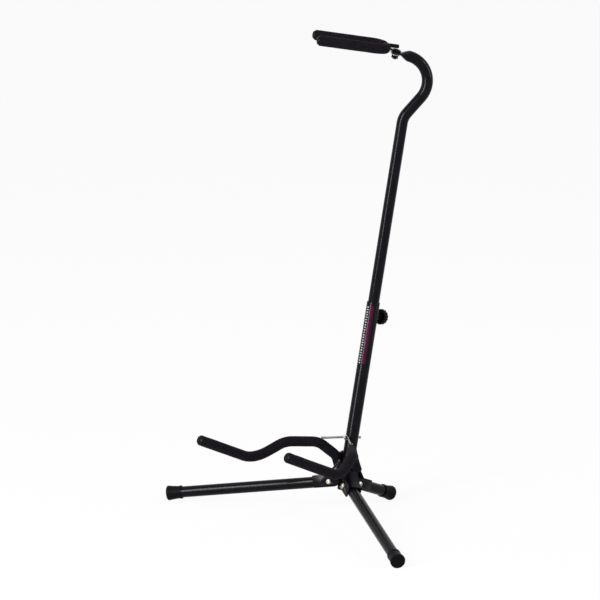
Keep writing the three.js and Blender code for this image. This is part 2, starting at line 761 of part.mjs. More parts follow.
const eyeRingRadius = stayRadius + holeClearance + eyeRingWire;            // to the middle of its wire
const stayApex = lowerTubeRadius + seatGap + eyeRingWire + eyeRingRadius;  // ahead of the post axis

// Bolt through the post with a ring in front, the ring's hole facing sideways.
function makeEyeBolt() {
  const shank = bar([0, eyeBoltTail, eyeBoltHeight], [0, -stayApex + eyeRingRadius, eyeBoltHeight],
    eyeBoltRadius, boltSides);
  const eye = new THREE.TorusGeometry(eyeRingRadius, eyeRingWire, rodSides, tubeSides)
    .rotateY(Math.PI / 2).translate(0, -stayApex, eyeBoltHeight);
  piece('eye_bolt', join(shank, eye), 'chrome', fittings);
  const nut = hexNut(eyeNutAcrossFlats, eyeNutHeight, eyeBoltRadius + holeClearance);
  piece('eye_nut', aim(nut, [0, lowerTubeRadius + seatGap, eyeBoltHeight], [0, 1, 0]), 'zinc', fittings);
}

// One wire: from over the left arm, through the eye, to over the right arm.
function makeStay() {
  const shoulder = [stayBend * 0.7, stayApex, eyeBoltHeight];
  const corners = [
    corner(stayTail, -1), corner(stayEnd, -1), corner(shoulder, -1),
    corner(shoulder, 1), corner(stayEnd, 1), corner(stayTail, 1),
  ];
  piece('stay_wire', swept(bentPath(corners, [4, stayBend, stayBend, 4]), stayRadius, boreSides), 'chrome', fittings);
}

// ---------------------------------------------------------------- neck cradle

const strapSeat = tongueThickness / 2 + seatGap;          // strap's underside off the pressed end
const strapMiddle = strapSeat + strapThickness / 2;
const strapBend = tongueHoleInset + 2;                    // from the bolt
const crossbarReach = (cradleBack - cradleBoltAt.ahead) / Math.sin(neckEnd.heading) - strapBend;

const lugFront = crossbarReach - cradleRodRadius;

// Frame of the cradle: X along the crossbar, -Y along the arms, from the strap's bend.
const cradle = new THREE.Group();
cradle.position.set(0, -strapBend, strapMiddle);
cradle.rotation.x = Math.PI / 2 - neckEnd.heading + radians(cradleTilt);
tongue.add(cradle);
cradle.updateMatrix();
const toCradle = cradle.matrix.clone().invert();

// Flat strap from under the bolt, bent down once towards the crossbar, with the peg's lug.
function strapGeometry() {
  const back = washerRadius;
  const onTongue = new THREE.BoxGeometry(strapWidth, back + strapBend, strapThickness)
    .translate(0, (back - strapBend) / 2, strapMiddle);
  const hole = disc(cradleBoltRadius + holeClearance, 0, strapSeat * 3, boltSides);
  const level = new THREE.BoxGeometry(strapWidth, crossbarReach + strapThickness / 2, strapThickness)
    .translate(0, -crossbarReach / 2 + strapThickness / 4, 0);
  const lugHeight = pegLift + pegRadius + strapThickness / 2;
  const lug = new THREE.BoxGeometry(strapWidth, lugThickness, lugHeight)
    .translate(0, -lugFront + lugThickness / 2, lugHeight / 2);
  return join(cut(onTongue, hole).applyMatrix4(toCradle), level, lug);
}

function makeCradle() {
  const armEndAt = -crossbarReach - (cradleTips - cradleBack);
  const path = bentPath([
    [-cradleHalfWidth, armEndAt, rodOffset], [-cradleHalfWidth, -crossbarReach, rodOffset],
    [cradleHalfWidth, -crossbarReach, rodOffset], [cradleHalfWidth, armEndAt, rodOffset],
  ], [cradleCorner, cradleCorner]);
  piece('cradle_frame', join(swept(path, cradleRodRadius, rodSides), strapGeometry()), 'blackPaint', cradle);
  const bareShare = cradleFoamGap / 2 / path.getLength();
  const bore = cradleRodRadius + holeClearance * 2;
  for (const [hand, side] of [[-1, 'left'], [1, 'right']]) {
    const span = hand < 0 ? { start: 0, end: 0.5 - bareShare } : { start: 0.5 + bareShare, end: 1 };
    piece(`cradle_foam_${side}`, swept(path, cradleFoamRadius, foamSides, { ...span, bore }), 'foam', cradle);
    const seat = [hand * cradleHalfWidth, armEndAt - seatGap, rodOffset];
    piece(`cradle_tip_${side}`, aim(domedHead(armTipRadius, armTipLength), seat, [0, -1, 0]), 'plastic', cradle);
  }
}

// Round peg over the strap, carried by the lug.
function makePeg() {
  const peg = turned([[0, 0], [pegRadius, 0], [pegRadius, pegLength - 2], [pegRadius - 1.6, pegLength], [0, pegLength]],
    rodSides * 2);
  const start = [0, -lugFront + lugThickness + seatGap, strapThickness / 2 + pegLift];
  piece('strap_peg', aim(peg, start, [0, 1, 0]), 'plastic', cradle);
}

function makeCradleBolt() {
  const top = strapSeat + strapThickness + seatGap;
  const under = -tongueThickness / 2 - seatGap;
  const nutSeat = under - washerThickness - seatGap;
  const shank = disc(cradleBoltRadius, nutSeat - cradleNutHeight - 1.5, top + 0.5, boltSides);
  const head = domedHead(cradleHeadRadius, cradleHeadHeight).translate(0, 0, top);
  piece('cradle_bolt', join(shank, head), 'blackPaint', tongue);
  const washer = ring(washerRadius, cradleBoltRadius + holeClearance, under - washerThickness, under, 20);
  piece('cradle_washer', washer, 'zinc', tongue);
  const nut = hexNut(cradleNutAcrossFlats, cradleNutHeight, cradleBoltRadius + holeClearance);
  piece('cradle_nut', nut.translate(0, 0, nutSeat - cradleNutHeight), 'zinc', tongue);
}

// ---------------------------------------------------------------- assembly

makeLowerTube();
makeBottomPlug();
makeUpperTube();
makeGuideBush();
makeClamp();
for (const leg of legs) {
  makeBracket(leg);
  makeLegTube(leg);
  makeFootCap(leg);
  makeLegScrew(leg);
}
makeYokeArm(-1, 'left');
makeYokeArm(1, 'right');
makeYokeBolt();
makeEyeBolt();
makeStay();
makeCradle();
makePeg();
makeCradleBolt();

// Origin on the floor, under the middle of the stand's box.
stand.updateMatrixWorld(true);
const box = new THREE.Box3().setFromObject(stand, true);
const middle = box.getCenter(new THREE.Vector3());
stand.position.set(-middle.x, -middle.y, 0);

export default stand;
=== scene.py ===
"""Visual model of a folding tubular guitar stand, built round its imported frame, in metres."""

import json
import logging
import math
from dataclasses import dataclass, field
from enum import Enum

import bpy
from mathutils import Matrix, Vector


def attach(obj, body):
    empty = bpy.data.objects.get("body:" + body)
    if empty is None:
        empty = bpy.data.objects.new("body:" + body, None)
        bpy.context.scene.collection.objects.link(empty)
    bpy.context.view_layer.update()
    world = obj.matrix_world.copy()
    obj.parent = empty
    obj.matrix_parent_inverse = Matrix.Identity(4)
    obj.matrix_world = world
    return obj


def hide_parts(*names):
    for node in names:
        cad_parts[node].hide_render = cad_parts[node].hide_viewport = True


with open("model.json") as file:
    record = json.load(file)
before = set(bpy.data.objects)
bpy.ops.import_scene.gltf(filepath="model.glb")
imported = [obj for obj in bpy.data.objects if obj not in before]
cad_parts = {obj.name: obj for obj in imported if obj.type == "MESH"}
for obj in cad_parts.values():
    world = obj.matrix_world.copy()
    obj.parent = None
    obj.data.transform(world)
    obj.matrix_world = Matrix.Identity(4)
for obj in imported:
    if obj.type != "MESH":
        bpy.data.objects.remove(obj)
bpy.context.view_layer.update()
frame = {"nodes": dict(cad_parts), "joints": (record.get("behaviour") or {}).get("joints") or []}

log = logging.getLogger("guitar_stand")

Profile = list[tuple[float, float]]
Corner = tuple[float, float, float]

MM = 0.001  # millimetres to metres
ROUND_STEPS = 64  # faces round a turned piece
BEND_STEP = 3.0  # degrees of bend between two points of a centre line
CREASE = math.radians(35)  # edges sharper than this stay creased when shaded
WELD = 1e-6  # corners this close merge, in metres
NODE_WELD = 2e-6  # the same on copies of the frame's nodes
NODE_FLAT = math.radians(0.6)  # faces flatter to each other than this become one
SEAT_GAP = 0.3  # clearance between seated pieces, in millimetres
THREAD_DEPTH = 0.42  # depth of a thread as a share of its pitch


class Hand(Enum):
    """The two sides of the stand, as signs along the sideways axis."""

    LEFT = -1
    RIGHT = 1

    @property
    def word(self) -> str:
        """The side's name as the pieces carry it."""
        return self.name.lower()


# ---------------------------------------------------------------- mesh tools


def clear_selection() -> None:
    """Leaves edit mode and deselects everything."""
    if bpy.context.object and bpy.context.object.mode != "OBJECT":
        bpy.ops.object.mode_set(mode="OBJECT")
    bpy.ops.object.select_all(action="DESELECT")


def pick(piece: bpy.types.Object) -> None:
    """Makes one object the selected and active one.

    Args:
        piece: the object.
    """
    clear_selection()
    piece.select_set(True)
    bpy.context.view_layer.objects.active = piece


def move_to(piece: bpy.types.Object, place: Matrix) -> None:
    """Puts a mesh in another frame and leaves its object at the origin.

    Args:
        piece: the mesh object, standing at the origin.
        place: the frame.
    """
    pick(piece)
    piece.matrix_world = place
    bpy.ops.object.transform_apply(location=True, rotation=True, scale=True)


def tidy_mesh(piece: bpy.types.Object) -> None:
    """Merges doubled corners and turns the faces outwards.

    Args:
        piece: the mesh object.
    """
    pick(piece)
    bpy.ops.object.mode_set(mode="EDIT")
    bpy.ops.mesh.select_all(action="SELECT")
    bpy.ops.mesh.remove_doubles(threshold=WELD)
    bpy.ops.mesh.normals_make_consistent(inside=False)
    bpy.ops.object.mode_set(mode="OBJECT")


def soften(piece: bpy.types.Object, width: float, angle: float = 40.0, segments: int = 3) -> None:
    """Rounds the sharp edges of a piece and shades it smooth.

    Args:
        piece: the mesh object.
        width: bevel width in millimetres, 0 for none.
        angle: edges sharper than this many degrees are rounded.
        segments: faces across each rounded edge.
    """
    pick(piece)
    if width > 0:
        bevel = piece.modifiers.new("edge", "BEVEL")
        bevel.width = width * MM
        bevel.segments = segments
        bevel.limit_method = "ANGLE"
        bevel.angle_limit = math.radians(angle)
        bevel.use_clamp_overlap = True
        bpy.ops.object.modifier_apply(modifier=bevel.name)
    bpy.ops.object.shade_smooth_by_angle(angle=CREASE)


def spun(name: str, profile: Profile, place: Matrix, steps: int = ROUND_STEPS) -> bpy.types.Object:
    """Turns a profile about its axis into a closed piece.

    Args:
        name: the piece's name.
        profile: (radius, height) pairs in millimetres, ending on the axis or where it began.
        place: frame whose Z is the axis.
        steps: faces round the axis.

    Returns:
        The new piece.
    """
    clear_selection()
    bpy.ops.mesh.primitive_plane_add(size=0.01)
    piece = bpy.context.object
    piece.name = piece.data.name = name
    bpy.ops.object.mode_set(mode="EDIT")
    bpy.ops.mesh.select_all(action="SELECT")
    bpy.ops.mesh.merge(type="CENTER")
    radius, height = profile[0]
    bpy.ops.transform.translate(value=(radius * MM, 0, height * MM))
    for (r0, z0), (r1, z1) in zip(profile, profile[1:]):
        step = ((r1 - r0) * MM, 0, (z1 - z0) * MM)
        bpy.ops.mesh.extrude_vertices_move(TRANSFORM_OT_translate={"value": step})
    bpy.ops.mesh.select_all(action="SELECT")
    bpy.ops.mesh.spin(steps=steps, angle=math.tau, center=(0, 0, 0), axis=(0, 0, 1))
    tidy_mesh(piece)
    move_to(piece, place)
    return piece


def bent_line(corners: list[Corner], radii: list[float]) -> list[Vector]:
    """Centre line of straight runs joined by circular bends.

    Args:
        corners: the line's corners in millimetres.
        radii: bend radius at each inner corner.

    Returns:
        Points along the line, BEND_STEP apart in the bends.
    """
    points = [Vector(corner) for corner in corners]
    line = [points[0]]
    for previous, corner, following, radius in zip(points, points[1:], points[2:], radii):
        back = (previous - corner).normalized()
        onward = (following - corner).normalized()
        turn = math.pi - back.angle(onward)
        start = corner + back * radius * math.tan(turn / 2)
        centre = corner + (back + onward).normalized() * radius / math.cos(turn / 2)
        spoke = start - centre
        count = max(2, math.ceil(math.degrees(turn) / BEND_STEP))
        for i in range(count + 1):
            angle = turn * i / count
            line.append(centre + spoke * math.cos(angle) - back * radius * math.sin(angle))
    line.append(points[-1])
    return line


def stretch_of(line: list[Vector], start: float, end: float, spacing: float = 4.0) -> list[Vector]:
    """The part of a line between two lengths along it, with points evenly apart.

    Args:
        line: the whole line.
        start: length at which the part begins, in millimetres.
        end: length at which it ends; 0 or less counts back from the line's end.
        spacing: distance between points.

    Returns:
        The part's points.
    """
    marks = [0.0]
    for a, b in zip(line, line[1:]):
        marks.append(marks[-1] + (b - a).length)
    end = end if end > 0 else marks[-1] + end
    count = max(2, round((end - start) / spacing))
    part, at = [], 0
    for i in range(count + 1):
        length = start + (end - start) * i / count
        while at < len(line) - 2 and marks[at + 1] < length:
            at += 1
        span = marks[at + 1] - marks[at]
        part.append(line[at].lerp(line[at + 1], (length - marks[at]) / span if span > 0 else 0))
    return part


def line_length(line: list[Vector]) -> float:
    """Length of a line of points, in millimetres."""
    return sum((b - a).length for a, b in zip(line, line[1:]))


def round_bar(
    name: str, line: list[Vector], radius: float, place: Matrix, fineness: int = 10
) -> bpy.types.Object:
    """A round bar along a line, closed at both ends.

    Args:
        name: the piece's name.
        line: centre line in millimetres.
        radius: the bar's radius in millimetres.
        place: frame the line is given in.
        fineness: bevel resolution of the section.

    Returns:
        The new piece.
    """
    clear_selection()
    curve = bpy.data.curves.new(name, "CURVE")
    curve.dimensions = "3D"
    curve.bevel_depth = radius * MM
    curve.bevel_resolution = fineness
    curve.use_fill_caps = True
    spline = curve.splines.new("POLY")
    spline.points.add(len(line) - 1)
    for point, at in zip(spline.points, line):
        point.co = (*(at * MM), 1)
    piece = bpy.data.objects.new(name, curve)
    bpy.context.scene.collection.objects.link(piece)
    pick(piece)
    bpy.ops.object.convert(target="MESH")
    piece = bpy.context.object
    piece.data.name = name
    tidy_mesh(piece)
    move_to(piece, place)
    return piece


def refined(node: str, name: str, bevel: float) -> bpy.types.Object:
    """A merged, edge-rounded, smoothly shaded copy of a frame node.

    Args:
        node: the frame node's name.
        name: the new piece's name.
        bevel: edge rounding in millimetres.

    Returns:
        The new piece.
    """
    clear_selection()
    piece = bpy.data.objects.new(name, frame["nodes"][node].data.copy())
    piece.data.name = name
    bpy.context.scene.collection.objects.link(piece)
    pick(piece)
    bpy.ops.object.mode_set(mode="EDIT")
    bpy.ops.mesh.select_all(action="SELECT")
    bpy.ops.mesh.remove_doubles(threshold=NODE_WELD)
    bpy.ops.mesh.dissolve_limited(angle_limit=NODE_FLAT)
    bpy.ops.object.mode_set(mode="OBJECT")
    soften(piece, bevel, angle=42, segments=2)
    return piece


def joined(first: bpy.types.Object, second: bpy.types.Object) -> bpy.types.Object:
    """Puts two meshes in one object.

    Args:
        first: the object that stays.
        second: the object that goes into it.

    Returns:
        The first object.
    """
    pick(first)
    second.select_set(True)
    bpy.ops.object.join()
    return first


def dome(radius: float, height: float, base: float, steps: int = 8) -> Profile:
    """Profile of a low dome from its rim to the axis.

    Args:
        radius: its radius in millimetres.
        height: its rise in millimetres.
        base: height of its rim.
        steps: faces from rim to axis.

    Returns:
        (radius, height) pairs.
    """
    angles = [math.pi / 2 * i / steps for i in range(steps)]
    curve = [(radius * math.cos(angle), base + height * math.sin(angle)) for angle in angles]
    return [*curve, (0.0, base + height)]


def thread(radius: float, start: float, end: float, pitch: float = 0.8) -> Profile:
    """Profile of shallow screw ridges between two heights.

    Args:
        radius: radius over the ridges, in millimetres.
        start: height of the first ridge.
        end: height of the last one.
        pitch: distance between ridges.

    Returns:
        (radius, height) pairs.
    """
    count = max(2, round(abs(end - start) / pitch))
    step = (end - start) / count
    depth = pitch * THREAD_DEPTH
    return [
        point
        for i in range(count)
        for point in ((radius - depth, start + step * i), (radius, start + step * (i + 0.5)))
    ] + [(radius - depth, end)]


# ---------------------------------------------------------------- finishes

MOTTLE_SPAN = (0.38, 0.72)  # noise from which the colour goes over to the mottle
GLOSS_SPAN = (0.3, 0.7)  # noise between the lowest and highest roughness
RELIEF_STRENGTH = 0.6  # share of the relief's depth that the light sees
MOTTLE_DETAIL, GLOSS_DETAIL, GRAIN_DETAIL = 5, 4, 3  # finer noise in each pattern


def maths(
    tree: bpy.types.NodeTree,
    kind: str,
    value: bpy.types.NodeSocket,
    other: bpy.types.NodeSocket | float,
) -> bpy.types.NodeSocket:
    """One sum on a value, with a number or another value.

    Args:
        tree: the material's nodes.
        kind: the sum.
        value: the first term.
        other: the second term.

    Returns:
        The result.
    """
    node = tree.nodes.new("ShaderNodeMath")
    node.operation = kind
    tree.links.new(value, node.inputs[0])
    if isinstance(other, (int, float)):
        node.inputs[1].default_value = other
    else:
        tree.links.new(other, node.inputs[1])
    return node.outputs[0]


@dataclass(frozen=True)
class Finish:
    """A surface with colour mottling, uneven gloss and a fine relief.

    Attributes:
        name: material name.
        slot: the record's material slot; not used.
        colour: base colour.
        mottle: second colour, blended in where the noise is high.
        mottle_scale: noise scale of the colour blend, per metre.
        rough: lowest and highest roughness.
        rough_scale: noise scale of the roughness, per metre.
        grain_scale: scale of the relief, per metre.
        grain_height: depth of the relief in millimetres.
        metal: metallic share.
        specular: specular level.
        sheen: sheen weight.
    """

    name: str
    slot: str
    colour: tuple[float, float, float]
    mottle: tuple[float, float, float]
    mottle_scale: float
    rough: tuple[float, float]
    rough_scale: float
    grain_scale: float
    grain_height: float
    metal: float = 0.0
    specular: float = 0.5
    sheen: float = 0.0

    def noise(self, tree: bpy.types.NodeTree, scale: float, detail: float) -> bpy.types.Node:
        """A noise texture read in the piece's own space.

        Args:
            tree: the material's nodes.
            scale: features per metre.
            detail: how many times finer noise is added.

        Returns:
            The texture node.
        """
        texture = tree.nodes.new("ShaderNodeTexNoise")
        texture.inputs["Scale"].default_value = scale
        texture.inputs["Detail"].default_value = detail
        tree.links.new(self.place(tree).outputs["Object"], texture.inputs["Vector"])
        return texture

    def place(self, tree: bpy.types.NodeTree) -> bpy.types.Node:
        """The material's texture coordinates, made once.

        Args:
            tree: the material's nodes.

        Returns:
            The coordinates node.
        """
        found = tree.nodes.get("place")
        if found is None:
            found = tree.nodes.new("ShaderNodeTexCoord")
            found.name = "place"
        return found

    def relief(self, tree: bpy.types.NodeTree) -> bpy.types.NodeSocket:
        """Height of the fine relief."""
        return self.noise(tree, self.grain_scale, GRAIN_DETAIL).outputs["Fac"]

    def tint(self, tree: bpy.types.NodeTree) -> bpy.types.NodeSocket:
        """Mottled surface colour.

        Args:
            tree: the material's nodes.

        Returns:
            The colour.
        """
        ramp = tree.nodes.new("ShaderNodeValToRGB")
        stops = ramp.color_ramp.elements
        for stop, position, colour in zip(stops, MOTTLE_SPAN, (self.colour, self.mottle)):
            stop.position, stop.color = position, (*colour, 1)
        blend = self.noise(tree, self.mottle_scale, MOTTLE_DETAIL)
        tree.links.new(blend.outputs["Fac"], ramp.inputs["Fac"])
        return ramp.outputs["Color"]

    def material(self) -> bpy.types.Material:
        """The finished material, made once and then shared.

        Returns:
            The material.
        """
        made = bpy.data.materials.get(self.name)
        if made is not None:
            return made
        made = bpy.data.materials.new(self.name)
        made.use_nodes = True
        tree = made.node_tree
        shader = tree.nodes["Principled BSDF"]
        shader.inputs["Metallic"].default_value = self.metal
        shader.inputs["Specular IOR Level"].default_value = self.specular
        shader.inputs["Sheen Weight"].default_value = self.sheen
        tree.links.new(self.tint(tree), shader.inputs["Base Color"])
        gloss = tree.nodes.new("ShaderNodeMapRange")
        gloss.inputs["From Min"].default_value, gloss.inputs["From Max"].default_value = GLOSS_SPAN
        gloss.inputs["To Min"].default_value, gloss.inputs["To Max"].default_value = self.rough
        wear = self.noise(tree, self.rough_scale, GLOSS_DETAIL)
        tree.links.new(wear.outputs["Fac"], gloss.inputs["Value"])
        tree.links.new(gloss.outputs["Result"], shader.inputs["Roughness"])
        bump = tree.nodes.new("ShaderNodeBump")
        bump.inputs["Strength"].default_value = RELIEF_STRENGTH
        bump.inputs["Distance"].default_value = self.grain_height * MM
        tree.links.new(self.relief(tree), bump.inputs["Height"])
        tree.links.new(bump.outputs["Normal"], shader.inputs["Normal"])
        return made


@dataclass(frozen=True)
class CellFinish(Finish):
    """A finish whose relief is small open cells, as on foam, painted paler on the cell walls: painted
    light on the walls and painted shade in the hollows.

    Attributes:
        painted_wall_light: the colour painted on the cell walls as light, leaving the hollows darker as
            painted shade.
        painted_wall_light_span: distance from a cell's middle at which the painted wall light begins and
            is full.
    """

    # painted light: the cell walls, where the relief stands highest, are paler than the hollows
    painted_wall_light: tuple[float, float, float] = (0.014, 0.012, 0.016)
    painted_wall_light_span: tuple[float, float] = (0.65, 0.9)

    def cells(self, tree: bpy.types.NodeTree) -> bpy.types.Node:
        """The cell pattern, made once.

        Args:
            tree: the material's nodes.

        Returns:
            The pattern node.
        """
        found = tree.nodes.get("cells")
        if found is None:
            found = tree.nodes.new("ShaderNodeTexVoronoi")
            found.name = "cells"
            found.inputs["Scale"].default_value = self.grain_scale
            tree.links.new(self.place(tree).outputs["Object"], found.inputs["Vector"])
        return found

    def relief(self, tree: bpy.types.NodeTree) -> bpy.types.NodeSocket:
        """Height of the cells."""
        return self.cells(tree).outputs["Distance"]

    def tint(self, tree: bpy.types.NodeTree) -> bpy.types.NodeSocket:
        """Mottled colour, painted paler where the cell walls stand highest, as painted light on the walls
        and painted shade in the hollows.

        Args:
            tree: the material's nodes.

        Returns:
            The colour.
        """
        mix = tree.nodes.new("ShaderNodeMix")
        mix.data_type = "RGBA"
        # painted light on the cell walls and painted shade in the hollows, following the relief's height
        edge = tree.nodes.new("ShaderNodeMapRange")
        edge.inputs["From Min"].default_value, edge.inputs["From Max"].default_value = self.painted_wall_light_span
        tree.links.new(self.cells(tree).outputs["Distance"], edge.inputs["Value"])
        tree.links.new(edge.outputs["Result"], mix.inputs["Factor"])
        tree.links.new(super().tint(tree), mix.inputs["A"])
        mix.inputs["B"].default_value = (*self.painted_wall_light, 1)
        return mix.outputs["Result"]


@dataclass(frozen=True)
class LabelFinish(Finish):
    """Printed band on a tube: a plum stripe that fades out, beside a row of plain pale ticks.

    Attributes:
        plum: the stripe's colour.
        pale: the ticks' colour.
        ticks: how many there are.
        tick_share: how much of each step a tick fills.
        tick_span: where ticks begin and end across the band.
        stripe_span: where the stripe begins, is full, begins to fade and has faded.
    """

    plum: tuple[float, float, float] = (0.065, 0.0013, 0.027)
    pale: tuple[float, float, float] = (0.4, 0.39, 0.4)
    ticks: int = 23
    tick_share: float = 0.42
    tick_span: tuple[float, float] = (0.12, 0.36)
    stripe_span: tuple[float, float, float, float] = (0.5, 0.56, 0.7, 0.88)

    def tint(self, tree: bpy.types.NodeTree) -> bpy.types.NodeSocket:
        """Stripe and ticks, laid out on the band's own map.

        Args:
            tree: the material's nodes.

        Returns:
            The colour.
        """
        split = tree.nodes.new("ShaderNodeSeparateXYZ")
        tree.links.new(self.place(tree).outputs["UV"], split.inputs["Vector"])
        stripe = tree.nodes.new("ShaderNodeValToRGB")
        stops = stripe.color_ramp.elements
        stops[0].position, stops[0].color = 0.0, (*self.colour, 1)
        stops[1].position, stops[1].color = 1.0, (*self.colour, 1)
        shades = (self.colour, self.plum, self.plum, self.mottle)
        for position, colour in zip(self.stripe_span, shades):
            stops.new(position).color = (*colour, 1)
        tree.links.new(split.outputs["X"], stripe.inputs["Fac"])
        phase = maths(tree, "MULTIPLY", split.outputs["Y"], self.ticks)
        part = maths(tree, "FRACT", phase, 0)
        lit = maths(tree, "LESS_THAN", part, self.tick_share)
        inner = maths(tree, "GREATER_THAN", split.outputs["X"], self.tick_span[0])
        outer = maths(tree, "LESS_THAN", split.outputs["X"], self.tick_span[1])
        both = maths(tree, "MULTIPLY", maths(tree, "MULTIPLY", lit, inner), outer)
        mix = tree.nodes.new("ShaderNodeMix")
        mix.data_type = "RGBA"
        tree.links.new(both, mix.inputs["Factor"])
        tree.links.new(stripe.outputs["Color"], mix.inputs["A"])
        mix.inputs["B"].default_value = (*self.pale, 1)
        return mix.outputs["Result"]


BLACK_PAINT = Finish(
    name="gloss_black_paint",
    slot="black_paint",
    colour=(0.0022, 0.0015, 0.003),
    mottle=(0.0038, 0.003, 0.005),
    mottle_scale=55,
    rough=(0.18, 0.23),
    rough_scale=130,
    grain_scale=900,
    grain_height=0.002,
    specular=0.09,
)
FOAM = CellFinish(
    name="open_cell_foam",
    slot="black_foam",
    colour=(0.0045, 0.0032, 0.0054),
    mottle=(0.008, 0.0062, 0.0092),
    mottle_scale=160,
    rough=(0.84, 0.97),
    rough_scale=300,
    grain_scale=1500,
    grain_height=0.2,
    specular=0.05,
    sheen=0.02,
)
RUBBER = Finish(
    name="moulded_rubber",
    slot="black_rubber",
    colour=(0.0026, 0.0022, 0.003),
    mottle=(0.0045, 0.004, 0.005),
    mottle_scale=120,
    rough=(0.42, 0.56),
    rough_scale=220,
    grain_scale=1400,
    grain_height=0.04,
    specular=0.05,
)
PLASTIC = Finish(
    name="black_moulded_plastic",
    slot="black_plastic",
    colour=(0.0026, 0.0024, 0.003),
    mottle=(0.0045, 0.0043, 0.005),
    mottle_scale=140,
    rough=(0.3, 0.42),
    rough_scale=260,
    grain_scale=1600,
    grain_height=0.03,
    specular=0.07,
)
ZINC = Finish(
    name="zinc_plate",
    slot="zinc",
    colour=(0.4, 0.37, 0.32),
    mottle=(0.56, 0.53, 0.47),
    mottle_scale=420,
    rough=(0.22, 0.38),
    rough_scale=700,
    grain_scale=1800,
    grain_height=0.02,
    metal=1.0,
)
CHROME = Finish(
    name="chrome_plate",
    slot="chrome",
    colour=(0.2, 0.2, 0.205),
    mottle=(0.3, 0.3, 0.305),
    mottle_scale=160,
    rough=(0.1, 0.18),
    rough_scale=350,
    grain_scale=1200,
    grain_height=0.008,
    metal=1.0,
)
LABEL = LabelFinish(
    name="printed_band",
    slot="black_paint",
    colour=(0.003, 0.0022, 0.004),
    mottle=(0.014, 0.0015, 0.008),
    mottle_scale=100,
    rough=(0.16, 0.24),
    rough_scale=150,
    grain_scale=800,
    grain_height=0.01,
    specular=0.14,
)


def dress(piece: bpy.types.Object, finish: Finish, body: str, *nodes: str) -> None:
    """Gives a piece its finish and its body, and hides the frame nodes it stands for.

    Args:
        piece: the finished piece.
        finish: its surface.
        body: the body that carries it.
        nodes: the frame nodes it replaces.
    """
    piece.data.materials.clear()
    piece.data.materials.append(finish.material())
    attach(piece, body)
    if nodes:
        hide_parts(*nodes)
    log.info("%s: %d faces on %s", piece.name, len(piece.data.polygons), body)


def dress_refined(node: str, name: str, bevel: float, finish: Finish, body: str) -> None:
    """Dresses a rounded copy of a frame node in the node's place."""
    dress(refined(node, name, bevel), finish, body, node)


# ---------------------------------------------------------------- where things stand


def turn_frame(angle: float, axis: str) -> Matrix:
    """A turn in degrees about one axis."""
    return Matrix.Rotation(math.radians(angle), 4, axis)


def shift_frame(x: float, y: float, z: float) -> Matrix:
    """A shift in millimetres."""
    return Matrix.Translation(Vector((x, y, z)) * MM)


def along_frame(origin: Vector, direction: Vector) -> Matrix:
    """A frame at a point, in millimetres, whose Z runs along a direction."""
    turn = Vector((0, 0, 1)).rotation_difference(direction).to_matrix().to_4x4()
    return Matrix.Translation(origin * MM) @ turn


@dataclass(frozen=True)
class Stance:
    """How the post and legs stand.

    Attributes:
        swivel_height: the mast's swivel point above the hub, along the post.
        lean: degrees the post leans back.
        turn: degrees the fittings sit turned on the post.
        swivel: degrees the gooseneck is swivelled on the post.
    """

    swivel_height: float = 145.0
    lean: float = 12.8
    turn: float = 6.0
    swivel: float = -39.0

    @property
    def hub(self) -> Vector:
        """Where the leg lines meet the post axis, in metres."""
        joint = next(j for j in frame["joints"] if j["name"] == "mast_swivel")
        return Vector(joint["pos_m"]) - Vector(joint["axis"]) * self.swivel_height * MM

    @property
    def post(self) -> Matrix:
        """Frame of the post: Z up it, -Y ahead."""
        return Matrix.Translation(self.hub) @ turn_frame(-self.lean, "X")

    @property
    def fittings(self) -> Matrix:
        """Frame of what sits turned on the post."""
        return self.post @ turn_frame(self.turn, "Z")

    @property
    def neck(self) -> Matrix:
        """Frame of the gooseneck and cradle."""
        return self.post @ turn_frame(self.swivel, "Z")

    def leg(self, azimuth: float, slope: float) -> Matrix:
        """Frame of a leg: X down it from the hub, Y along its hinge, Z off it.

        Args:
            azimuth: degrees from straight ahead, to the right.
            slope: degrees down from level.

        Returns:
            The frame.
        """
        flat = math.cos(math.radians(slope))
        heading = math.radians(azimuth)
        fall = math.sin(math.radians(slope))
        along = Vector((flat * math.sin(heading), -flat * math.cos(heading), -fall))
        axis = (self.post.to_3x3() @ Vector((0, 0, 1))).normalized()
        hinge = axis.cross(along).normalized()
        off = along.cross(hinge)
        turn = Matrix((along, hinge, off)).transposed().to_4x4()
        return Matrix.Translation(self.hub) @ turn


# ---------------------------------------------------------------- post and clamp


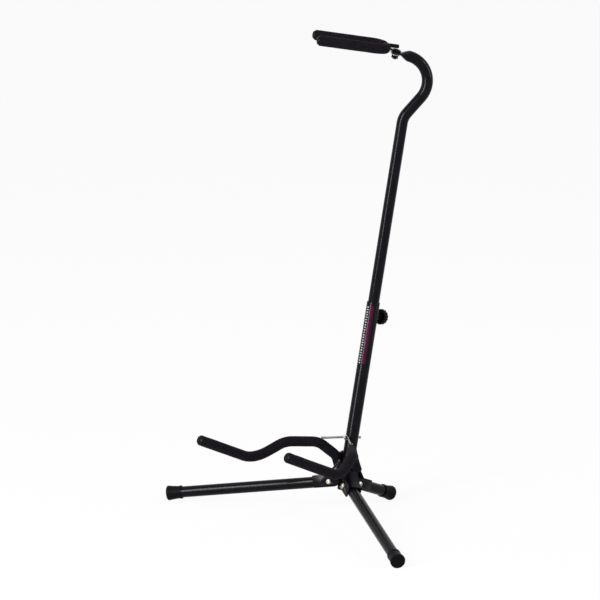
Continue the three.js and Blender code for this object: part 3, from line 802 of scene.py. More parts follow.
@dataclass
class Post:
    """Lower tube with its plug, printed band, clamp boss, knob and screw.

    Attributes:
        stance: how the stand stands.
        radius: tube radius.
        wall: tube wall.
        foot: foot of the tube from the hub.
        top: top of the tube from the hub.
        lip: rounding of the tube's mouth.
        band_foot: foot of the printed band.
        band_top: top of the printed band.
        band_from: first edge of the band round the tube, in degrees.
        band_to: last edge of the band round the tube, in degrees.
        band_lift: the band's inner face off the tube.
        band_film: the band's thickness.
        plug_depth: how far the plug goes into the tube.
        plug_flange: thickness of its flange.
    """

    stance: Stance
    radius: float = 11.0
    wall: float = 1.2
    foot: float = -14.0
    top: float = 305.0
    lip: float = 0.5
    band_foot: float = 200.0
    band_top: float = 299.0
    band_from: float = -112.0
    band_to: float = -30.0
    band_lift: float = 0.04
    band_film: float = 0.05
    plug_depth: float = 10.0
    plug_flange: float = 3.0

    def build_tube(self) -> bpy.types.Object:
        """Open tube with rolled rims.

        Returns:
            The tube.
        """
        outer, inner, lip = self.radius, self.radius - self.wall, self.lip
        profile = [
            (inner, self.foot), (outer - lip, self.foot), (outer, self.foot + lip),
            (outer, self.top - lip), (outer - lip * 0.3, self.top - lip * 0.3), (outer - lip, self.top),
            (inner, self.top), (inner, self.foot),
        ]
        tube = spun("post_lower_tube", profile, self.stance.fittings)
        soften(tube, 0)
        return tube

    def build_plug(self) -> bpy.types.Object:
        """Push-in plug with a rounded flange.

        Returns:
            The plug.
        """
        seat, bore = self.foot - SEAT_GAP, self.radius - self.wall - SEAT_GAP
        end, tip = seat - self.plug_flange, seat + self.plug_depth
        profile = [
            (0, end), (self.radius - 2, end), (self.radius - 0.6, end + 0.4), (self.radius, end + 1.6),
            (self.radius, seat), (bore, seat), (bore, tip), (0, tip),
        ]
        plug = spun("post_bottom_plug", profile, self.stance.fittings)
        soften(plug, 0)
        return plug

    def build_band(self) -> bpy.types.Object:
        """Thin printed band lying on part of the tube, with its own map across and along it.

        Returns:
            The band.
        """
        clear_selection()
        radius, height = self.radius + self.band_lift, self.band_top - self.band_foot
        bpy.ops.mesh.primitive_grid_add(x_subdivisions=32, y_subdivisions=24, size=1.0)
        band = bpy.context.object
        band.name = band.data.name = "post_printed_band"
        for vertex in band.data.vertices:
            share, rise = vertex.co.x + 0.5, vertex.co.y + 0.5
            angle = math.radians(self.band_from + (self.band_to - self.band_from) * share)
            up = self.band_foot + height * rise
            vertex.co = Vector((radius * math.cos(angle), radius * math.sin(angle), up)) * MM
        wall = band.modifiers.new("film", "SOLIDIFY")
        wall.thickness = self.band_film * MM
        wall.offset = 1
        bpy.ops.object.modifier_apply(modifier=wall.name)
        move_to(band, self.stance.post)
        bpy.ops.object.shade_smooth_by_angle(angle=CREASE)
        return band

    def build(self) -> None:
        """Makes and dresses the tube, its plug and its band."""
        dress(self.build_tube(), BLACK_PAINT, "base", "lower_tube")
        dress(self.build_plug(), PLASTIC, "base", "bottom_plug")
        dress(self.build_band(), LABEL, "base")
        dress_refined("clamp_boss", "clamp_boss_turned", 0.5, BLACK_PAINT, "base")
        dress_refined("clamp_knob", "clamp_knob_moulded", 0.45, PLASTIC, "knob")
        dress_refined("clamp_screw", "clamp_screw_turned", 0.15, ZINC, "knob")


# ---------------------------------------------------------------- foams and end buttons

FOAM_EDGE = 1.1  # rounding of a foam's ends, in millimetres
LUMP_SIZE = 0.018  # in metres
LUMP_HEIGHT = 0.5  # in millimetres
LUMP_LEVEL = 0.6  # share of the lumps that goes inwards
BUTTON_RIM = 0.9  # height at which a button's crown begins, in millimetres
DIMPLE_RADIUS = 1.2  # in millimetres
DIMPLE_DEPTH = 0.5  # in millimetres


def foam_sleeve(name: str, line: list[Vector], radius: float, place: Matrix) -> bpy.types.Object:
    """A slightly uneven foam sleeve with soft ends.

    Args:
        name: the piece's name.
        line: centre line in millimetres.
        radius: outer radius in millimetres.
        place: frame of the line.

    Returns:
        The new sleeve.
    """
    sleeve = round_bar(name, line, radius, place, fineness=12)
    soften(sleeve, FOAM_EDGE, angle=60, segments=4)
    lumps = bpy.data.textures.new(f"{name}_lumps", "CLOUDS")
    lumps.noise_scale = LUMP_SIZE
    push = sleeve.modifiers.new("lumps", "DISPLACE")
    push.texture = lumps
    push.strength = LUMP_HEIGHT * MM
    push.mid_level = LUMP_LEVEL
    pick(sleeve)
    bpy.ops.object.modifier_apply(modifier=push.name)
    return sleeve


def end_button(name: str, radius: float, height: float, place: Matrix) -> bpy.types.Object:
    """Moulded button over a rod's end, with a shallow dimple.

    Args:
        name: the piece's name.
        radius: its radius in millimetres.
        height: how far it stands out in millimetres.
        place: frame whose Z points out of the rod's end.

    Returns:
        The new button.
    """
    rim = [(0, 0), (radius - 0.4, 0), (radius, 0.5)]
    crown = dome(radius - 0.3, height - BUTTON_RIM, BUTTON_RIM)[1:-1]
    profile = [*rim, *crown, (DIMPLE_RADIUS, height - DIMPLE_DEPTH / 2), (0, height - DIMPLE_DEPTH)]
    button = spun(name, profile, place, steps=40)
    soften(button, 0)
    return button


# ---------------------------------------------------------------- mast and cradle


@dataclass
class Mast:
    """Upper tube with its gooseneck and pressed end, and the neck cradle bolted to it.

    Attributes:
        stance: how the stand stands.
        radius: tube radius.
        foot: foot of the tube.
        neck_start: end of the straight tube.
        back_turn: degrees of the first bend.
        back_radius: its radius.
        middle_run: straight run between the bends.
        over_turn: degrees of the second bend.
        over_radius: its radius.
        end_run: last round stretch.
        flatten_run: stretch over which the tube is pressed.
        tongue_run: length of the pressed end.
        tongue_thickness: its thickness.
        tongue_width: its width.
        bolt_inset: bolt from the pressed end's tip.
        roll: degrees the pressed end and cradle are rolled.
        tilt: degrees the cradle's arms droop.
        crossbar: crossbar ahead of the post axis.
        tips: arm tips ahead of the post axis.
        half_width: half the distance between the arms.
        corner: bend radius of the cradle's corners.
        rod_offset: rod above the strap's middle.
        foam_radius: foam radius.
        bare: bare stretch in the middle of the crossbar.
        button_radius: radius of the arms' end buttons.
        button_height: how far they stand out.
        strap_thickness: the strap's thickness.
        strap_edge: the strap's bend past its bolt, off the pressed end.
        peg_radius: the peg's radius.
        peg_length: its length.
        peg_height: its middle above the strap's middle.
        peg_gap: its foot behind the crossbar's middle.
        press: stretches of the tube from its tip back: where each ends behind the pressed end, as a
            share of flatten_run and a length added to it, and how fully it is pressed.
        line: the tube's centre line, which draw_line works out.
    """

    stance: Stance
    radius: float = 9.5
    foot: float = 145.0
    neck_start: float = 609.0
    back_turn: float = 33.0
    back_radius: float = 32.0
    middle_run: float = 35.6
    over_turn: float = 117.0
    over_radius: float = 42.0
    end_run: float = 6.0
    flatten_run: float = 9.0
    tongue_run: float = 16.0
    tongue_thickness: float = 5.0
    tongue_width: float = 23.0
    bolt_inset: float = 8.0
    roll: float = 5.0
    tilt: float = 1.0
    crossbar: float = 50.0
    tips: float = 164.0
    half_width: float = 34.5
    corner: float = 22.0
    rod_offset: float = 1.9
    foam_radius: float = 8.9
    bare: float = 20.0
    button_radius: float = 7.4
    button_height: float = 4.6
    strap_thickness: float = 2.5
    strap_edge: float = 2.0
    peg_radius: float = 3.4
    peg_length: float = 17.0
    peg_height: float = 5.75
    peg_gap: float = 7.3
    press: tuple[tuple[float, float, float], ...] = (
        (0.0, 0.5, 1.0), (0.5, 0.0, 0.78), (0.9, 0.0, 0.46), (1.0, 2.5, 0.2), (1.0, 5.0, 0.05),
    )
    line: list[Vector] = field(default_factory=list)

    @property
    def heading(self) -> float:
        """How far over from the post the pressed end runs, in radians."""
        return math.radians(self.over_turn - self.back_turn)

    def draw_line(self) -> None:
        """Works out the tube's centre line, ahead along -Y and up along Z."""
        ahead, up, heading = 0.0, self.neck_start, 0.0
        self.line = [Vector((0, 0, self.foot)), Vector((0, 0, up))]
        for turned, radius, run in (
            (-self.back_turn, self.back_radius, self.middle_run),
            (self.over_turn, self.over_radius, self.end_run),
        ):
            count = round(abs(turned) / BEND_STEP)
            step = math.radians(turned) / count
            for _ in range(count):
                chord = 2 * radius * math.sin(abs(step) / 2)
                ahead += chord * math.sin(heading + step / 2)
                up += chord * math.cos(heading + step / 2)
                heading += step
                self.line.append(Vector((0, -ahead, up)))
            ahead += run * math.sin(heading)
            up += run * math.cos(heading)
            self.line.append(Vector((0, -ahead, up)))

    def beyond(self, length: float) -> Vector:
        """A point further along the pressed end's heading from the last round section."""
        return self.line[-1] + Vector((0, -math.sin(self.heading), math.cos(self.heading))) * length

    @property
    def tongue(self) -> Matrix:
        """Frame of the pressed end at the bolt: X across, -Y onward, Z off its flat.

        Returns:
            The frame.
        """
        at = self.beyond(self.flatten_run + self.tongue_run - self.bolt_inset)
        tip = turn_frame(math.degrees(math.pi / 2 - self.heading), "X").inverted()
        return self.stance.neck @ shift_frame(*at) @ tip @ turn_frame(self.roll, "Y")

    @property
    def strap_bend(self) -> float:
        """The strap's bend ahead of the bolt."""
        return self.bolt_inset + self.strap_edge

    @property
    def cradle(self) -> Matrix:
        """Frame of the cradle at the strap's bend: X along the crossbar, -Y along the arms.

        Returns:
            The frame.
        """
        middle = self.tongue_thickness / 2 + SEAT_GAP + self.strap_thickness / 2
        droop = 90 - math.degrees(self.heading) + self.tilt
        return self.tongue @ shift_frame(0, -self.strap_bend, middle) @ turn_frame(droop, "X")

    @property
    def reach(self) -> float:
        """Crossbar ahead of the strap's bend."""
        bolt = self.beyond(self.flatten_run + self.tongue_run - self.bolt_inset)
        return (self.crossbar + bolt.y) / math.sin(self.heading) - self.strap_bend

    def press_end(self, tube: bpy.types.Object) -> None:
        """Flattens the rings past the round part, in the pressed end's own frame.

        Args:
            tube: the round tube, bent already.
        """
        tongue = self.tongue
        move_to(tube, tongue.inverted())
        start = self.tongue_run - self.bolt_inset
        widen, thin = self.tongue_width / 2 / self.radius, self.tongue_thickness / 2 / self.radius
        low = -math.inf
        for run_share, extra, share in self.press:
            high = start + self.flatten_run * run_share + extra
            pick(tube)
            for vertex in tube.data.vertices:
                y, radial = vertex.co.y / MM, math.hypot(vertex.co.x, vertex.co.z) / MM
                vertex.select = low < y <= high and radial < self.radius + 1
            for polygon in tube.data.polygons:
                polygon.select = False
            for edge in tube.data.edges:
                edge.select = False
            bpy.ops.object.mode_set(mode="EDIT")
            size = (1 + (widen - 1) * share, 1.0, 1 + (thin - 1) * share)
            bpy.ops.transform.resize(value=size, center_override=(0, 0, 0))
            bpy.ops.object.mode_set(mode="OBJECT")
            low = high
        move_to(tube, tongue)

    def build_tube(self) -> bpy.types.Object:
        """The bent tube with its pressed end.

        Returns:
            The tube.
        """
        rings = [-4.0, -1.5, *(self.flatten_run * share for share in (0.25, 0.65, 1.0))]
        rings += [self.flatten_run + self.tongue_run * i / 4 for i in range(1, 5)]
        line = [*self.line[:-1], *(self.beyond(length) for length in rings)]
        tube = round_bar("mast_tube", line, self.radius, self.stance.neck, fineness=14)
        bpy.context.scene.tool_settings.mesh_select_mode = (True, False, False)
        self.press_end(tube)
        soften(tube, 0.9, angle=60)
        return tube

    def cradle_line(self) -> list[Vector]:
        """Centre line of the cradle's rod.

        Returns:
            Points in millimetres, in the cradle's frame.
        """
        end = -self.reach - (self.tips - self.crossbar)
        wide, back, high = self.half_width, -self.reach, self.rod_offset
        return bent_line(
            [(-wide, end, high), (-wide, back, high), (wide, back, high), (wide, end, high)],
            [self.corner, self.corner],
        )

    def build_foam(self, hand: Hand) -> bpy.types.Object:
        """One half of the cradle's foam.

        Args:
            hand: which half.

        Returns:
            The sleeve.
        """
        line = self.cradle_line()
        middle = line_length(line) / 2
        span = (0.0, middle - self.bare / 2) if hand is Hand.LEFT else (middle + self.bare / 2, 0.0)
        part = stretch_of(line, *span)
        return foam_sleeve(f"cradle_foam_sleeve_{hand.word}", part, self.foam_radius, self.cradle)

    def build_tip(self, hand: Hand) -> bpy.types.Object:
        """End button of one cradle arm.

        Args:
            hand: which arm.

        Returns:
            The button.
        """
        end = -self.reach - (self.tips - self.crossbar) - SEAT_GAP
        at = Vector((hand.value * self.half_width, end, self.rod_offset))
        place = self.cradle @ along_frame(at, Vector((0, -1, 0)))
        name = f"cradle_end_button_{hand.word}"
        return end_button(name, self.button_radius, self.button_height, place)

    def build_peg(self) -> bpy.types.Object:
        """Round peg along the strap.

        Returns:
            The peg.
        """
        radius, end = self.peg_radius, self.peg_length
        profile = [
            (0, 0), (radius - 0.5, 0), (radius, 0.5), (radius, end - 2.4), (radius - 0.3, end - 1.1),
            (radius - 1, end - 0.3), (radius - 2, end), (0, end),
        ]
        foot = Vector((0, self.peg_gap - self.reach, self.peg_height))
        peg = spun("strap_peg_turned", profile, self.cradle @ along_frame(foot, Vector((0, 1, 0))))
        soften(peg, 0)
        return peg

    def build(self) -> None:
        """Makes and dresses the mast and its cradle."""
        self.draw_line()
        dress(self.build_tube(), BLACK_PAINT, "mast", "upper_tube")
        dress_refined("cradle_frame", "cradle_rod_and_strap", 0.35, BLACK_PAINT, "mast")
        for hand in Hand:
            sleeve = self.build_foam(hand)
            dress(sleeve, FOAM, "mast", f"cradle_foam_{hand.word}")
            dress(self.build_tip(hand), PLASTIC, "mast", f"cradle_tip_{hand.word}")
        dress(self.build_peg(), PLASTIC, "mast", "strap_peg")
        dress_refined("cradle_bolt", "cradle_bolt_pressed", 0.2, BLACK_PAINT, "mast")
        dress_refined("cradle_washer", "cradle_washer_pressed", 0.2, ZINC, "mast")
        dress_refined("cradle_nut", "cradle_nut_hexagon", 0.3, BLACK_PAINT, "mast")
        dress_refined("guide_bush", "guide_bush_moulded", 0.3, PLASTIC, "mast_glide")


# ---------------------------------------------------------------- legs


@dataclass
class Leg:
    """One folding leg with its bracket, cap, pivot screw and nut.

    Attributes:
        stance: how the stand stands.
        side: the leg's name.
        azimuth: degrees from straight ahead, to the right.
        reach: hub to the leg's end along the floor.
        radius: tube radius.
        wall: tube wall.
        tube_start: inner end of the tube from the hub.
        cap_radius: cap radius at its end.
        collar: cap radius at its mouth.
        cap_length: the cap's length.
        cap_wall: thickness of the cap's end.
        hub_height: hub above the floor.
        sole: depth worn off the cap's rim.
        dish_radius: radius of the shallow dish in the cap's end.
        dish: its depth.
    """

    stance: Stance
    side: str
    azimuth: float
    reach: float
    radius: float = 9.5
    wall: float = 1.2
    tube_start: float = 22.0
    cap_radius: float = 12.5
    collar: float = 11.3
    cap_length: float = 26.0
    cap_wall: float = 5.0
    hub_height: float = 59.0
    sole: float = 0.5
    dish_radius: float = 7.5
    dish: float = 0.35

    @property
    def slope(self) -> float:
        """Degrees at which the leg slopes to the floor.

        Returns:
            The slope.
        """
        slope = 0.0
        for _ in range(30):
            drop = self.hub_height - self.cap_radius * math.cos(slope) + self.sole
            slope = math.atan2(drop, self.reach)
        return math.degrees(slope)

    @property
    def length(self) -> float:
        """Hub to the cap's end, along the leg."""
        return self.reach / math.cos(math.radians(self.slope))

    @property
    def down_leg(self) -> Matrix:
        """Frame whose Z runs down the leg."""
        return self.stance.leg(self.azimuth, self.slope) @ turn_frame(90, "Y")

    def build_tube(self) -> bpy.types.Object:
        """Open leg tube.

        Returns:
            The tube.
        """
        inner, end = self.radius - self.wall, self.length - self.cap_wall - SEAT_GAP
        profile = [
            (inner, self.tube_start), (self.radius - 0.3, self.tube_start),
            (self.radius, self.tube_start + 0.3), (self.radius, end), (inner, end),
            (inner, self.tube_start),
        ]
        tube = spun(f"leg_round_tube_{self.side}", profile, self.down_leg)
        soften(tube, 0)
        return tube

    def build_cap(self) -> bpy.types.Object:
        """Push-on cap with a mouth bead and an end rim, worn flat where it stands.

        Returns:
            The cap.
        """
        mouth, end, inner = self.length - self.cap_length, self.length, self.radius + SEAT_GAP
        profile = [
            (0, end - self.cap_wall), (inner, end - self.cap_wall), (inner, mouth),
            (self.collar - 0.5, mouth),
            (self.collar, mouth + 0.6), (self.collar, mouth + 3.6), (self.collar - 0.7, mouth + 4.4),
            (self.collar - 0.5, mouth + 8), (self.cap_radius - 0.7, end - 7.2),
            (self.cap_radius - 0.1, end - 5), (self.cap_radius, end - 4), (self.cap_radius, end - 1.7),
            (self.cap_radius - 0.2, end - 0.9), (self.cap_radius - 0.7, end - 0.3),
            (self.cap_radius - 1.6, end), (self.dish_radius, end),
            (self.dish_radius - 0.5, end - self.dish), (0, end - self.dish),
        ]
        cap = spun(f"foot_rubber_cap_{self.side}", profile, self.down_leg)
        pick(cap)
        bpy.ops.object.mode_set(mode="EDIT")
        bpy.ops.mesh.select_all(action="SELECT")
        bpy.ops.mesh.bisect(plane_co=(0, 0, 0), plane_no=(0, 0, 1), clear_inner=True, use_fill=True)
        bpy.ops.object.mode_set(mode="OBJECT")
        soften(cap, 0)
        return cap

    def build(self) -> None:
        """Makes and dresses the leg."""
        dress(self.build_tube(), BLACK_PAINT, f"leg_{self.side}", f"leg_tube_{self.side}")
        dress(self.build_cap(), RUBBER, f"leg_{self.side}", f"foot_cap_{self.side}")
        for node, name, finish, bevel in (
            ("leg_bracket", "leg_pressed_bracket", BLACK_PAINT, 0.45),
            ("leg_screw", "leg_pivot_screw", ZINC, 0.25),
            ("leg_nut", "leg_pivot_nut", ZINC, 0.3),
        ):
            dress_refined(f"{node}_{self.side}", f"{name}_{self.side}", bevel, finish, "base")


LEGS = (  # side, degrees from straight ahead, and reach along the floor
    ("left", -60.0, 311.5),
    ("right", 60.0, 311.5),
    ("rear", 180.0, 113.0),
)


# ---------------------------------------------------------------- yoke and stay


@dataclass
class Yoke:
    """The two padded arms on their bolt, and the wire stay in its eye bolt.

    Attributes:
        stance: how the stand stands.
        corners: corners of an arm, as sideways, ahead and up.
        dip: which corner is shifted on the right arm.
        dip_right: its shift, as sideways, ahead and up.
        radii: bend radii at the inner corners.
        raised: how many corners at the far end the raise moves.
        raise_right: degrees the right arm stands higher past its crest.
        pivot: height of the arms' bolt.
        rod_radius: radius of an arm's rod.
        foam_radius: foam radius.
        foam_start: start of the foam along the arm.
        lug_reach: how far ahead the flattened eye runs before the arm's own rod takes over.
        button_radius: radius of the arms' end buttons.
        button_height: how far they stand out.
        post_radius: radius of the post between the arms.
        lug_inset: a lug's inner face off the post.
        lug_thickness: its thickness.
        bolt_radius: radius of the arms' bolt.
        head_radius: radius of its head.
        head_height: height of its dome.
        bolt_tail: how far its thread runs past the lug.
        eye_height: height of the eye bolt.
        eye_ahead: the eye's middle ahead of the post axis.
        eye_ring: radius of its ring, to the middle of the ring's wire.
        eye_wire: radius of the ring's wire.
        shank_radius: radius of its shank.
        shank_end: end of the shank behind the post axis.
        thread_end: where its thread ends behind the post axis.
        stay_radius: wire radius.
        stay_bend: bend radius beside the eye.
        stay_corners: end and tail of the wire, as sideways, ahead and up.
        tail_bend: bend radius at its ends.
    """

    stance: Stance
    corners: tuple[Corner, ...] = (
        (19.2, -2.4, 20.2), (18.8, 11.4, 38.8), (35.3, 43.8, 59), (70.9, 88.7, 52.6), (93.8, 136.9, 17.4),
        (91, 290.3, 50.7),
    )
    dip: int = 4
    dip_right: Corner = (-3, 5, 5)
    radii: tuple[float, ...] = (22, 34, 48, 62)
    raised: int = 3
    raise_right: float = 1.6
    pivot: float = 41.0
    rod_radius: float = 4.0
    foam_radius: float = 8.75
    foam_start: float = 0.5
    lug_reach: float = 13.0
    button_radius: float = 6.0
    button_height: float = 3.0
    post_radius: float = 11.0
    lug_inset: float = 0.6
    lug_thickness: float = 3.2
    bolt_radius: float = 3.0
    head_radius: float = 5.4
    head_height: float = 3.1
    bolt_tail: float = 7.0
    eye_height: float = 73.0
    eye_ahead: float = 16.4
    eye_ring: float = 3.7
    eye_wire: float = 1.4
    shank_radius: float = 2.0
    shank_end: float = 24.0
    thread_end: float = 9.0
    stay_radius: float = 2.0
    stay_bend: float = 6.0
    stay_corners: tuple[Corner, Corner] = ((27, 36, 67.2), (32, 42.6, 66.4))
    tail_bend: float = 4.0

    def arm_line(self, hand: Hand) -> list[Vector]:
        """Centre line of one arm in the fittings' frame.

        Args:
            hand: which arm.

        Returns:
            Points in millimetres.
        """
        lift = math.radians(self.raise_right) if hand is Hand.RIGHT else 0.0
        points = []
        for i, (side, ahead, up) in enumerate(self.corners):
            if i == self.dip and hand is Hand.RIGHT:
                side, ahead, up = (a + b for a, b in zip((side, ahead, up), self.dip_right))
            if i >= len(self.corners) - self.raised:
                rise = up - self.pivot
                ahead, up = (
                    ahead * math.cos(lift) - rise * math.sin(lift),
                    self.pivot + ahead * math.sin(lift) + rise * math.cos(lift),
                )
            points.append((side * hand.value, -ahead, up))
        return bent_line(points, list(self.radii))

    def build_rod(self, hand: Hand) -> bpy.types.Object:
        """One arm's rod: the flattened eye with the bent rod welded to it.

        Args:
            hand: which arm.

        Returns:
            The rod.
        """
        eye = refined(f"yoke_rod_{hand.word}", f"yoke_bent_rod_{hand.word}", 0.3)
        fittings = self.stance.fittings
        move_to(eye, fittings.inverted())
        pick(eye)
        bpy.ops.object.mode_set(mode="EDIT")
        bpy.ops.mesh.select_all(action="SELECT")
        bpy.ops.mesh.bisect(
            plane_co=(0, -self.lug_reach * MM, 0), plane_no=(0, -1, 0), clear_outer=True, use_fill=True,
        )
        bpy.ops.object.mode_set(mode="OBJECT")
        move_to(eye, fittings)
        rod = joined(eye, round_bar("rod", self.arm_line(hand), self.rod_radius, fittings, fineness=6))
        soften(rod, 0)
        return rod

    def build_arm(self, hand: Hand) -> None:
        """Makes and dresses one arm.

        Args:
            hand: which arm.
        """
        side, line = hand.word, self.arm_line(hand)
        dress(self.build_rod(hand), BLACK_PAINT, "yoke", f"yoke_rod_{side}")
        part = stretch_of(line, self.foam_start, 0.0)
        sleeve = foam_sleeve(f"yoke_foam_sleeve_{side}", part, self.foam_radius, self.stance.fittings)
        dress(sleeve, FOAM, "yoke", f"yoke_foam_{side}")
        outward = (line[-1] - line[-2]).normalized()
        place = self.stance.fittings @ along_frame(line[-1] + outward * SEAT_GAP, outward)
        button = end_button(f"yoke_end_button_{side}", self.button_radius, self.button_height, place)
        dress(button, PLASTIC, "yoke", f"yoke_tip_{side}")

    def build_bolt(self) -> bpy.types.Object:
        """The arms' bolt, domed at one end and threaded at the other.

        Returns:
            The bolt.
        """
        face = self.post_radius + self.lug_inset + self.lug_thickness + SEAT_GAP
        radius, rim, tail = self.bolt_radius, self.head_radius, -face - self.bolt_tail
        profile = [
            (0, tail), (radius - 0.6, tail), *thread(radius, tail + 0.4, -face + 0.5),
            (radius, -face + 1.2), (radius, face), (rim - 0.2, face), (rim, face + 0.25),
            *dome(rim, self.head_height, face + 0.3)[1:],
        ]
        place = self.stance.fittings @ along_frame(Vector((0, 0, self.pivot)), Vector((1, 0, 0)))
        bolt = spun("yoke_pivot_bolt", profile, place, steps=40)
        soften(bolt, 0)
        return bolt

    def build_eye(self) -> bpy.types.Object:
        """Eye bolt: a threaded shank and the ring that carries the wire.

        Returns:
            The eye bolt.
        """
        radius, end, front = self.shank_radius, -self.shank_end, self.eye_ahead - self.eye_ring
        profile = [
            (0, end), (radius - 0.5, end), *thread(radius, end + 0.5, -self.thread_end, 0.7),
            (radius, 0.5 - self.thread_end), (radius, front), (0, front),
        ]
        middle = Vector((0, 0, self.eye_height))
        shank_place = self.stance.fittings @ along_frame(middle, Vector((0, -1, 0)))
        shank = spun("stay_eye_bolt", profile, shank_place, steps=32)
        clear_selection()
        bpy.ops.mesh.primitive_torus_add(
            major_radius=self.eye_ring * MM, minor_radius=self.eye_wire * MM,
            major_segments=40, minor_segments=16,
        )
        ring = bpy.context.object
        at = self.stance.fittings @ shift_frame(0, -self.eye_ahead, self.eye_height)
        move_to(ring, at @ turn_frame(90, "Y"))
        eye = joined(shank, ring)
        soften(eye, 0)
        return eye

    def build_stay(self) -> bpy.types.Object:
        """Wire from over one arm, through the eye, to over the other.

        Returns:
            The wire.
        """
        end, tail = self.stay_corners
        shoulder = (self.stay_bend * 0.7, self.eye_ahead, self.eye_height)
        right = [shoulder, end, tail]
        points = [(-side, -ahead, up) for side, ahead, up in reversed(right)]
        points += [(side, -ahead, up) for side, ahead, up in right]
        line = bent_line(points, [self.tail_bend, self.stay_bend, self.stay_bend, self.tail_bend])
        wire = round_bar("stay_bent_wire", line, self.stay_radius, self.stance.fittings, fineness=6)
        soften(wire, 0.6, angle=60)
        return wire

    def build(self) -> None:
        """Makes and dresses the yoke, its bolt and the stay."""
        for hand in Hand:
            self.build_arm(hand)
        dress(self.build_bolt(), ZINC, "base", "yoke_bolt")
        dress_refined("yoke_nut", "yoke_nut_hexagon", 0.3, ZINC, "base")
        dress(self.build_eye(), CHROME, "base", "eye_bolt")
        dress_refined("eye_nut", "eye_nut_hexagon", 0.25, ZINC, "base")
        dress(self.build_stay(), CHROME, "stay", "stay_wire")


# ---------------------------------------------------------------- studio


def seen_directly(tree: bpy.types.NodeTree) -> bpy.types.NodeSocket:
    """One for rays that show the surroundings: the camera's, reflected and passed through.

    Args:
        tree: the nodes of the floor or of the surroundings.

    Returns:
        The value, zero or one.
    """
    path = tree.nodes.new("ShaderNodeLightPath")
    value = path.outputs["Is Camera Ray"]
    for kind in ("Is Glossy Ray", "Is Transmission Ray"):
        value = maths(tree, "MAXIMUM", value, path.outputs[kind])
    return value


@dataclass(frozen=True)
class Lamp:
    """A rectangular lamp aimed at the stand's middle.

    Attributes:
        name: the lamp's name.
        at: its place in metres.
        size: its width and height in metres.
        power: its power in watts.
    """

    name: str
    at: tuple[float, float, float]
    size: tuple[float, float]
    power: float

    def build(self, target: Vector) -> None:
        """Makes the lamp.

        Args:
            target: what it is aimed at, in metres.
        """
        data = bpy.data.lights.new(self.name, "AREA")
        data.shape = "RECTANGLE"
        data.size, data.size_y = self.size
        data.energy = self.power
        lamp = bpy.data.objects.new(self.name, data)
        bpy.context.scene.collection.objects.link(lamp)
        lamp.location = self.at
        lamp.rotation_mode = "QUATERNION"
        lamp.rotation_quaternion = (target - Vector(self.at)).to_track_quat("-Z", "Y")


LAMPS = (
    Lamp("front_strip", at=(-0.1, -3.3, 1.7), size=(0.5, 2.6), power=130),
    Lamp("upper_strip", at=(0.42, -3.3, 2.3), size=(0.34, 1.5), power=45),
    Lamp("side_strip", at=(2.9, 1.9, 1.9), size=(0.26, 2.2), power=60),
    Lamp("top", at=(0.2, 0.3, 3.6), size=(1.2, 1.2), power=12),
)


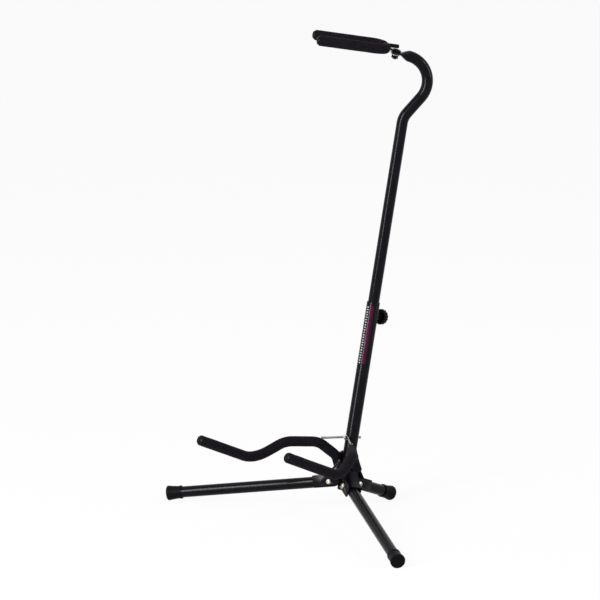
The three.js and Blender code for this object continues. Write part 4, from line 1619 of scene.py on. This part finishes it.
@dataclass
class Studio:
    """Pale floor, soft lamps and the camera.

    Attributes:
        stance: how the stand stands.
        azimuth: degrees round the stand from straight ahead.
        elevation: degrees above the horizon.
        distance: camera to its aim, in metres.
        lens: focal length in millimetres on a 36 mm sensor.
        aim: the camera's aim from the floor point under the hub, in metres.
        lamp_aim: height the lamps are aimed at, in metres.
        floor_size: the floor's side, in metres.
        floor_tone: how pale the floor is.
        floor_glow: how much of it shows as plain white; the rest takes the stand's shadow.
        ambient: strength of the surroundings as a light.
    """

    stance: Stance
    azimuth: float = 44.54
    elevation: float = 14.56
    distance: float = 7.233
    lens: float = 260.4
    aim: tuple[float, float, float] = (-0.0543, -0.0534, 0.3721)
    lamp_aim: float = 0.35
    floor_size: float = 80.0
    floor_tone: float = 0.9
    floor_glow: float = 0.93
    ambient: float = 0.2

    def build_camera(self) -> None:
        """The camera, level and square to its aim."""
        a, e = math.radians(self.azimuth), math.radians(self.elevation)
        back = Vector((math.sin(a) * math.cos(e), -math.cos(a) * math.cos(e), math.sin(e)))
        hub = self.stance.hub
        data = bpy.data.cameras.new("camera")
        data.lens = self.lens
        data.sensor_width = 36
        data.clip_end = 200
        camera = bpy.data.objects.new("camera", data)
        bpy.context.scene.collection.objects.link(camera)
        camera.location = Vector(self.aim) + Vector((hub.x, hub.y, 0)) + back * self.distance
        camera.rotation_mode = "QUATERNION"
        camera.rotation_quaternion = (-back).to_track_quat("-Z", "Y")
        bpy.context.scene.camera = camera

    def build_floor(self) -> None:
        """White floor that keeps a light shadow."""
        clear_selection()
        bpy.ops.mesh.primitive_plane_add(size=self.floor_size)
        floor = bpy.context.object
        floor.name = "floor"
        made = bpy.data.materials.new("white_floor")
        made.use_nodes = True
        tree = made.node_tree
        tree.nodes.clear()
        out = tree.nodes.new("ShaderNodeOutputMaterial")
        mix = tree.nodes.new("ShaderNodeMixShader")
        diffuse = tree.nodes.new("ShaderNodeBsdfDiffuse")
        diffuse.inputs["Color"].default_value = (self.floor_tone, self.floor_tone, self.floor_tone, 1)
        glow = tree.nodes.new("ShaderNodeEmission")
        share = maths(tree, "MULTIPLY", seen_directly(tree), self.floor_glow)
        tree.links.new(share, mix.inputs["Fac"])
        tree.links.new(diffuse.outputs[0], mix.inputs[1])
        tree.links.new(glow.outputs[0], mix.inputs[2])
        tree.links.new(mix.outputs[0], out.inputs["Surface"])
        floor.data.materials.append(made)

    def build_world(self) -> None:
        """White surroundings for the camera and for reflections, dimmer as a light."""
        world = bpy.data.worlds.new("surroundings")
        bpy.context.scene.world = world
        world.use_nodes = True
        tree = world.node_tree
        background = tree.nodes["Background"]
        strength = tree.nodes.new("ShaderNodeMapRange")
        strength.inputs["To Min"].default_value = self.ambient
        strength.inputs["To Max"].default_value = 1.0
        tree.links.new(seen_directly(tree), strength.inputs["Value"])
        background.inputs["Color"].default_value = (1, 1, 1, 1)
        tree.links.new(strength.outputs["Result"], background.inputs["Strength"])

    def build(self) -> None:
        """Makes the camera, floor, surroundings and lamps."""
        self.build_camera()
        self.build_floor()
        self.build_world()
        for lamp in LAMPS:
            lamp.build(Vector((0, 0, self.lamp_aim)))
        bpy.context.scene.view_settings.view_transform = "Standard"


def main() -> None:
    """Builds the stand, then the studio round it."""
    logging.basicConfig(level=logging.INFO, format="%(name)s: %(message)s")
    stance = Stance()
    Studio(stance).build()
    Post(stance).build()
    Mast(stance).build()
    for side, azimuth, reach in LEGS:
        Leg(stance, side, azimuth, reach).build()
    Yoke(stance).build()


if __name__ == "__main__":
    main()
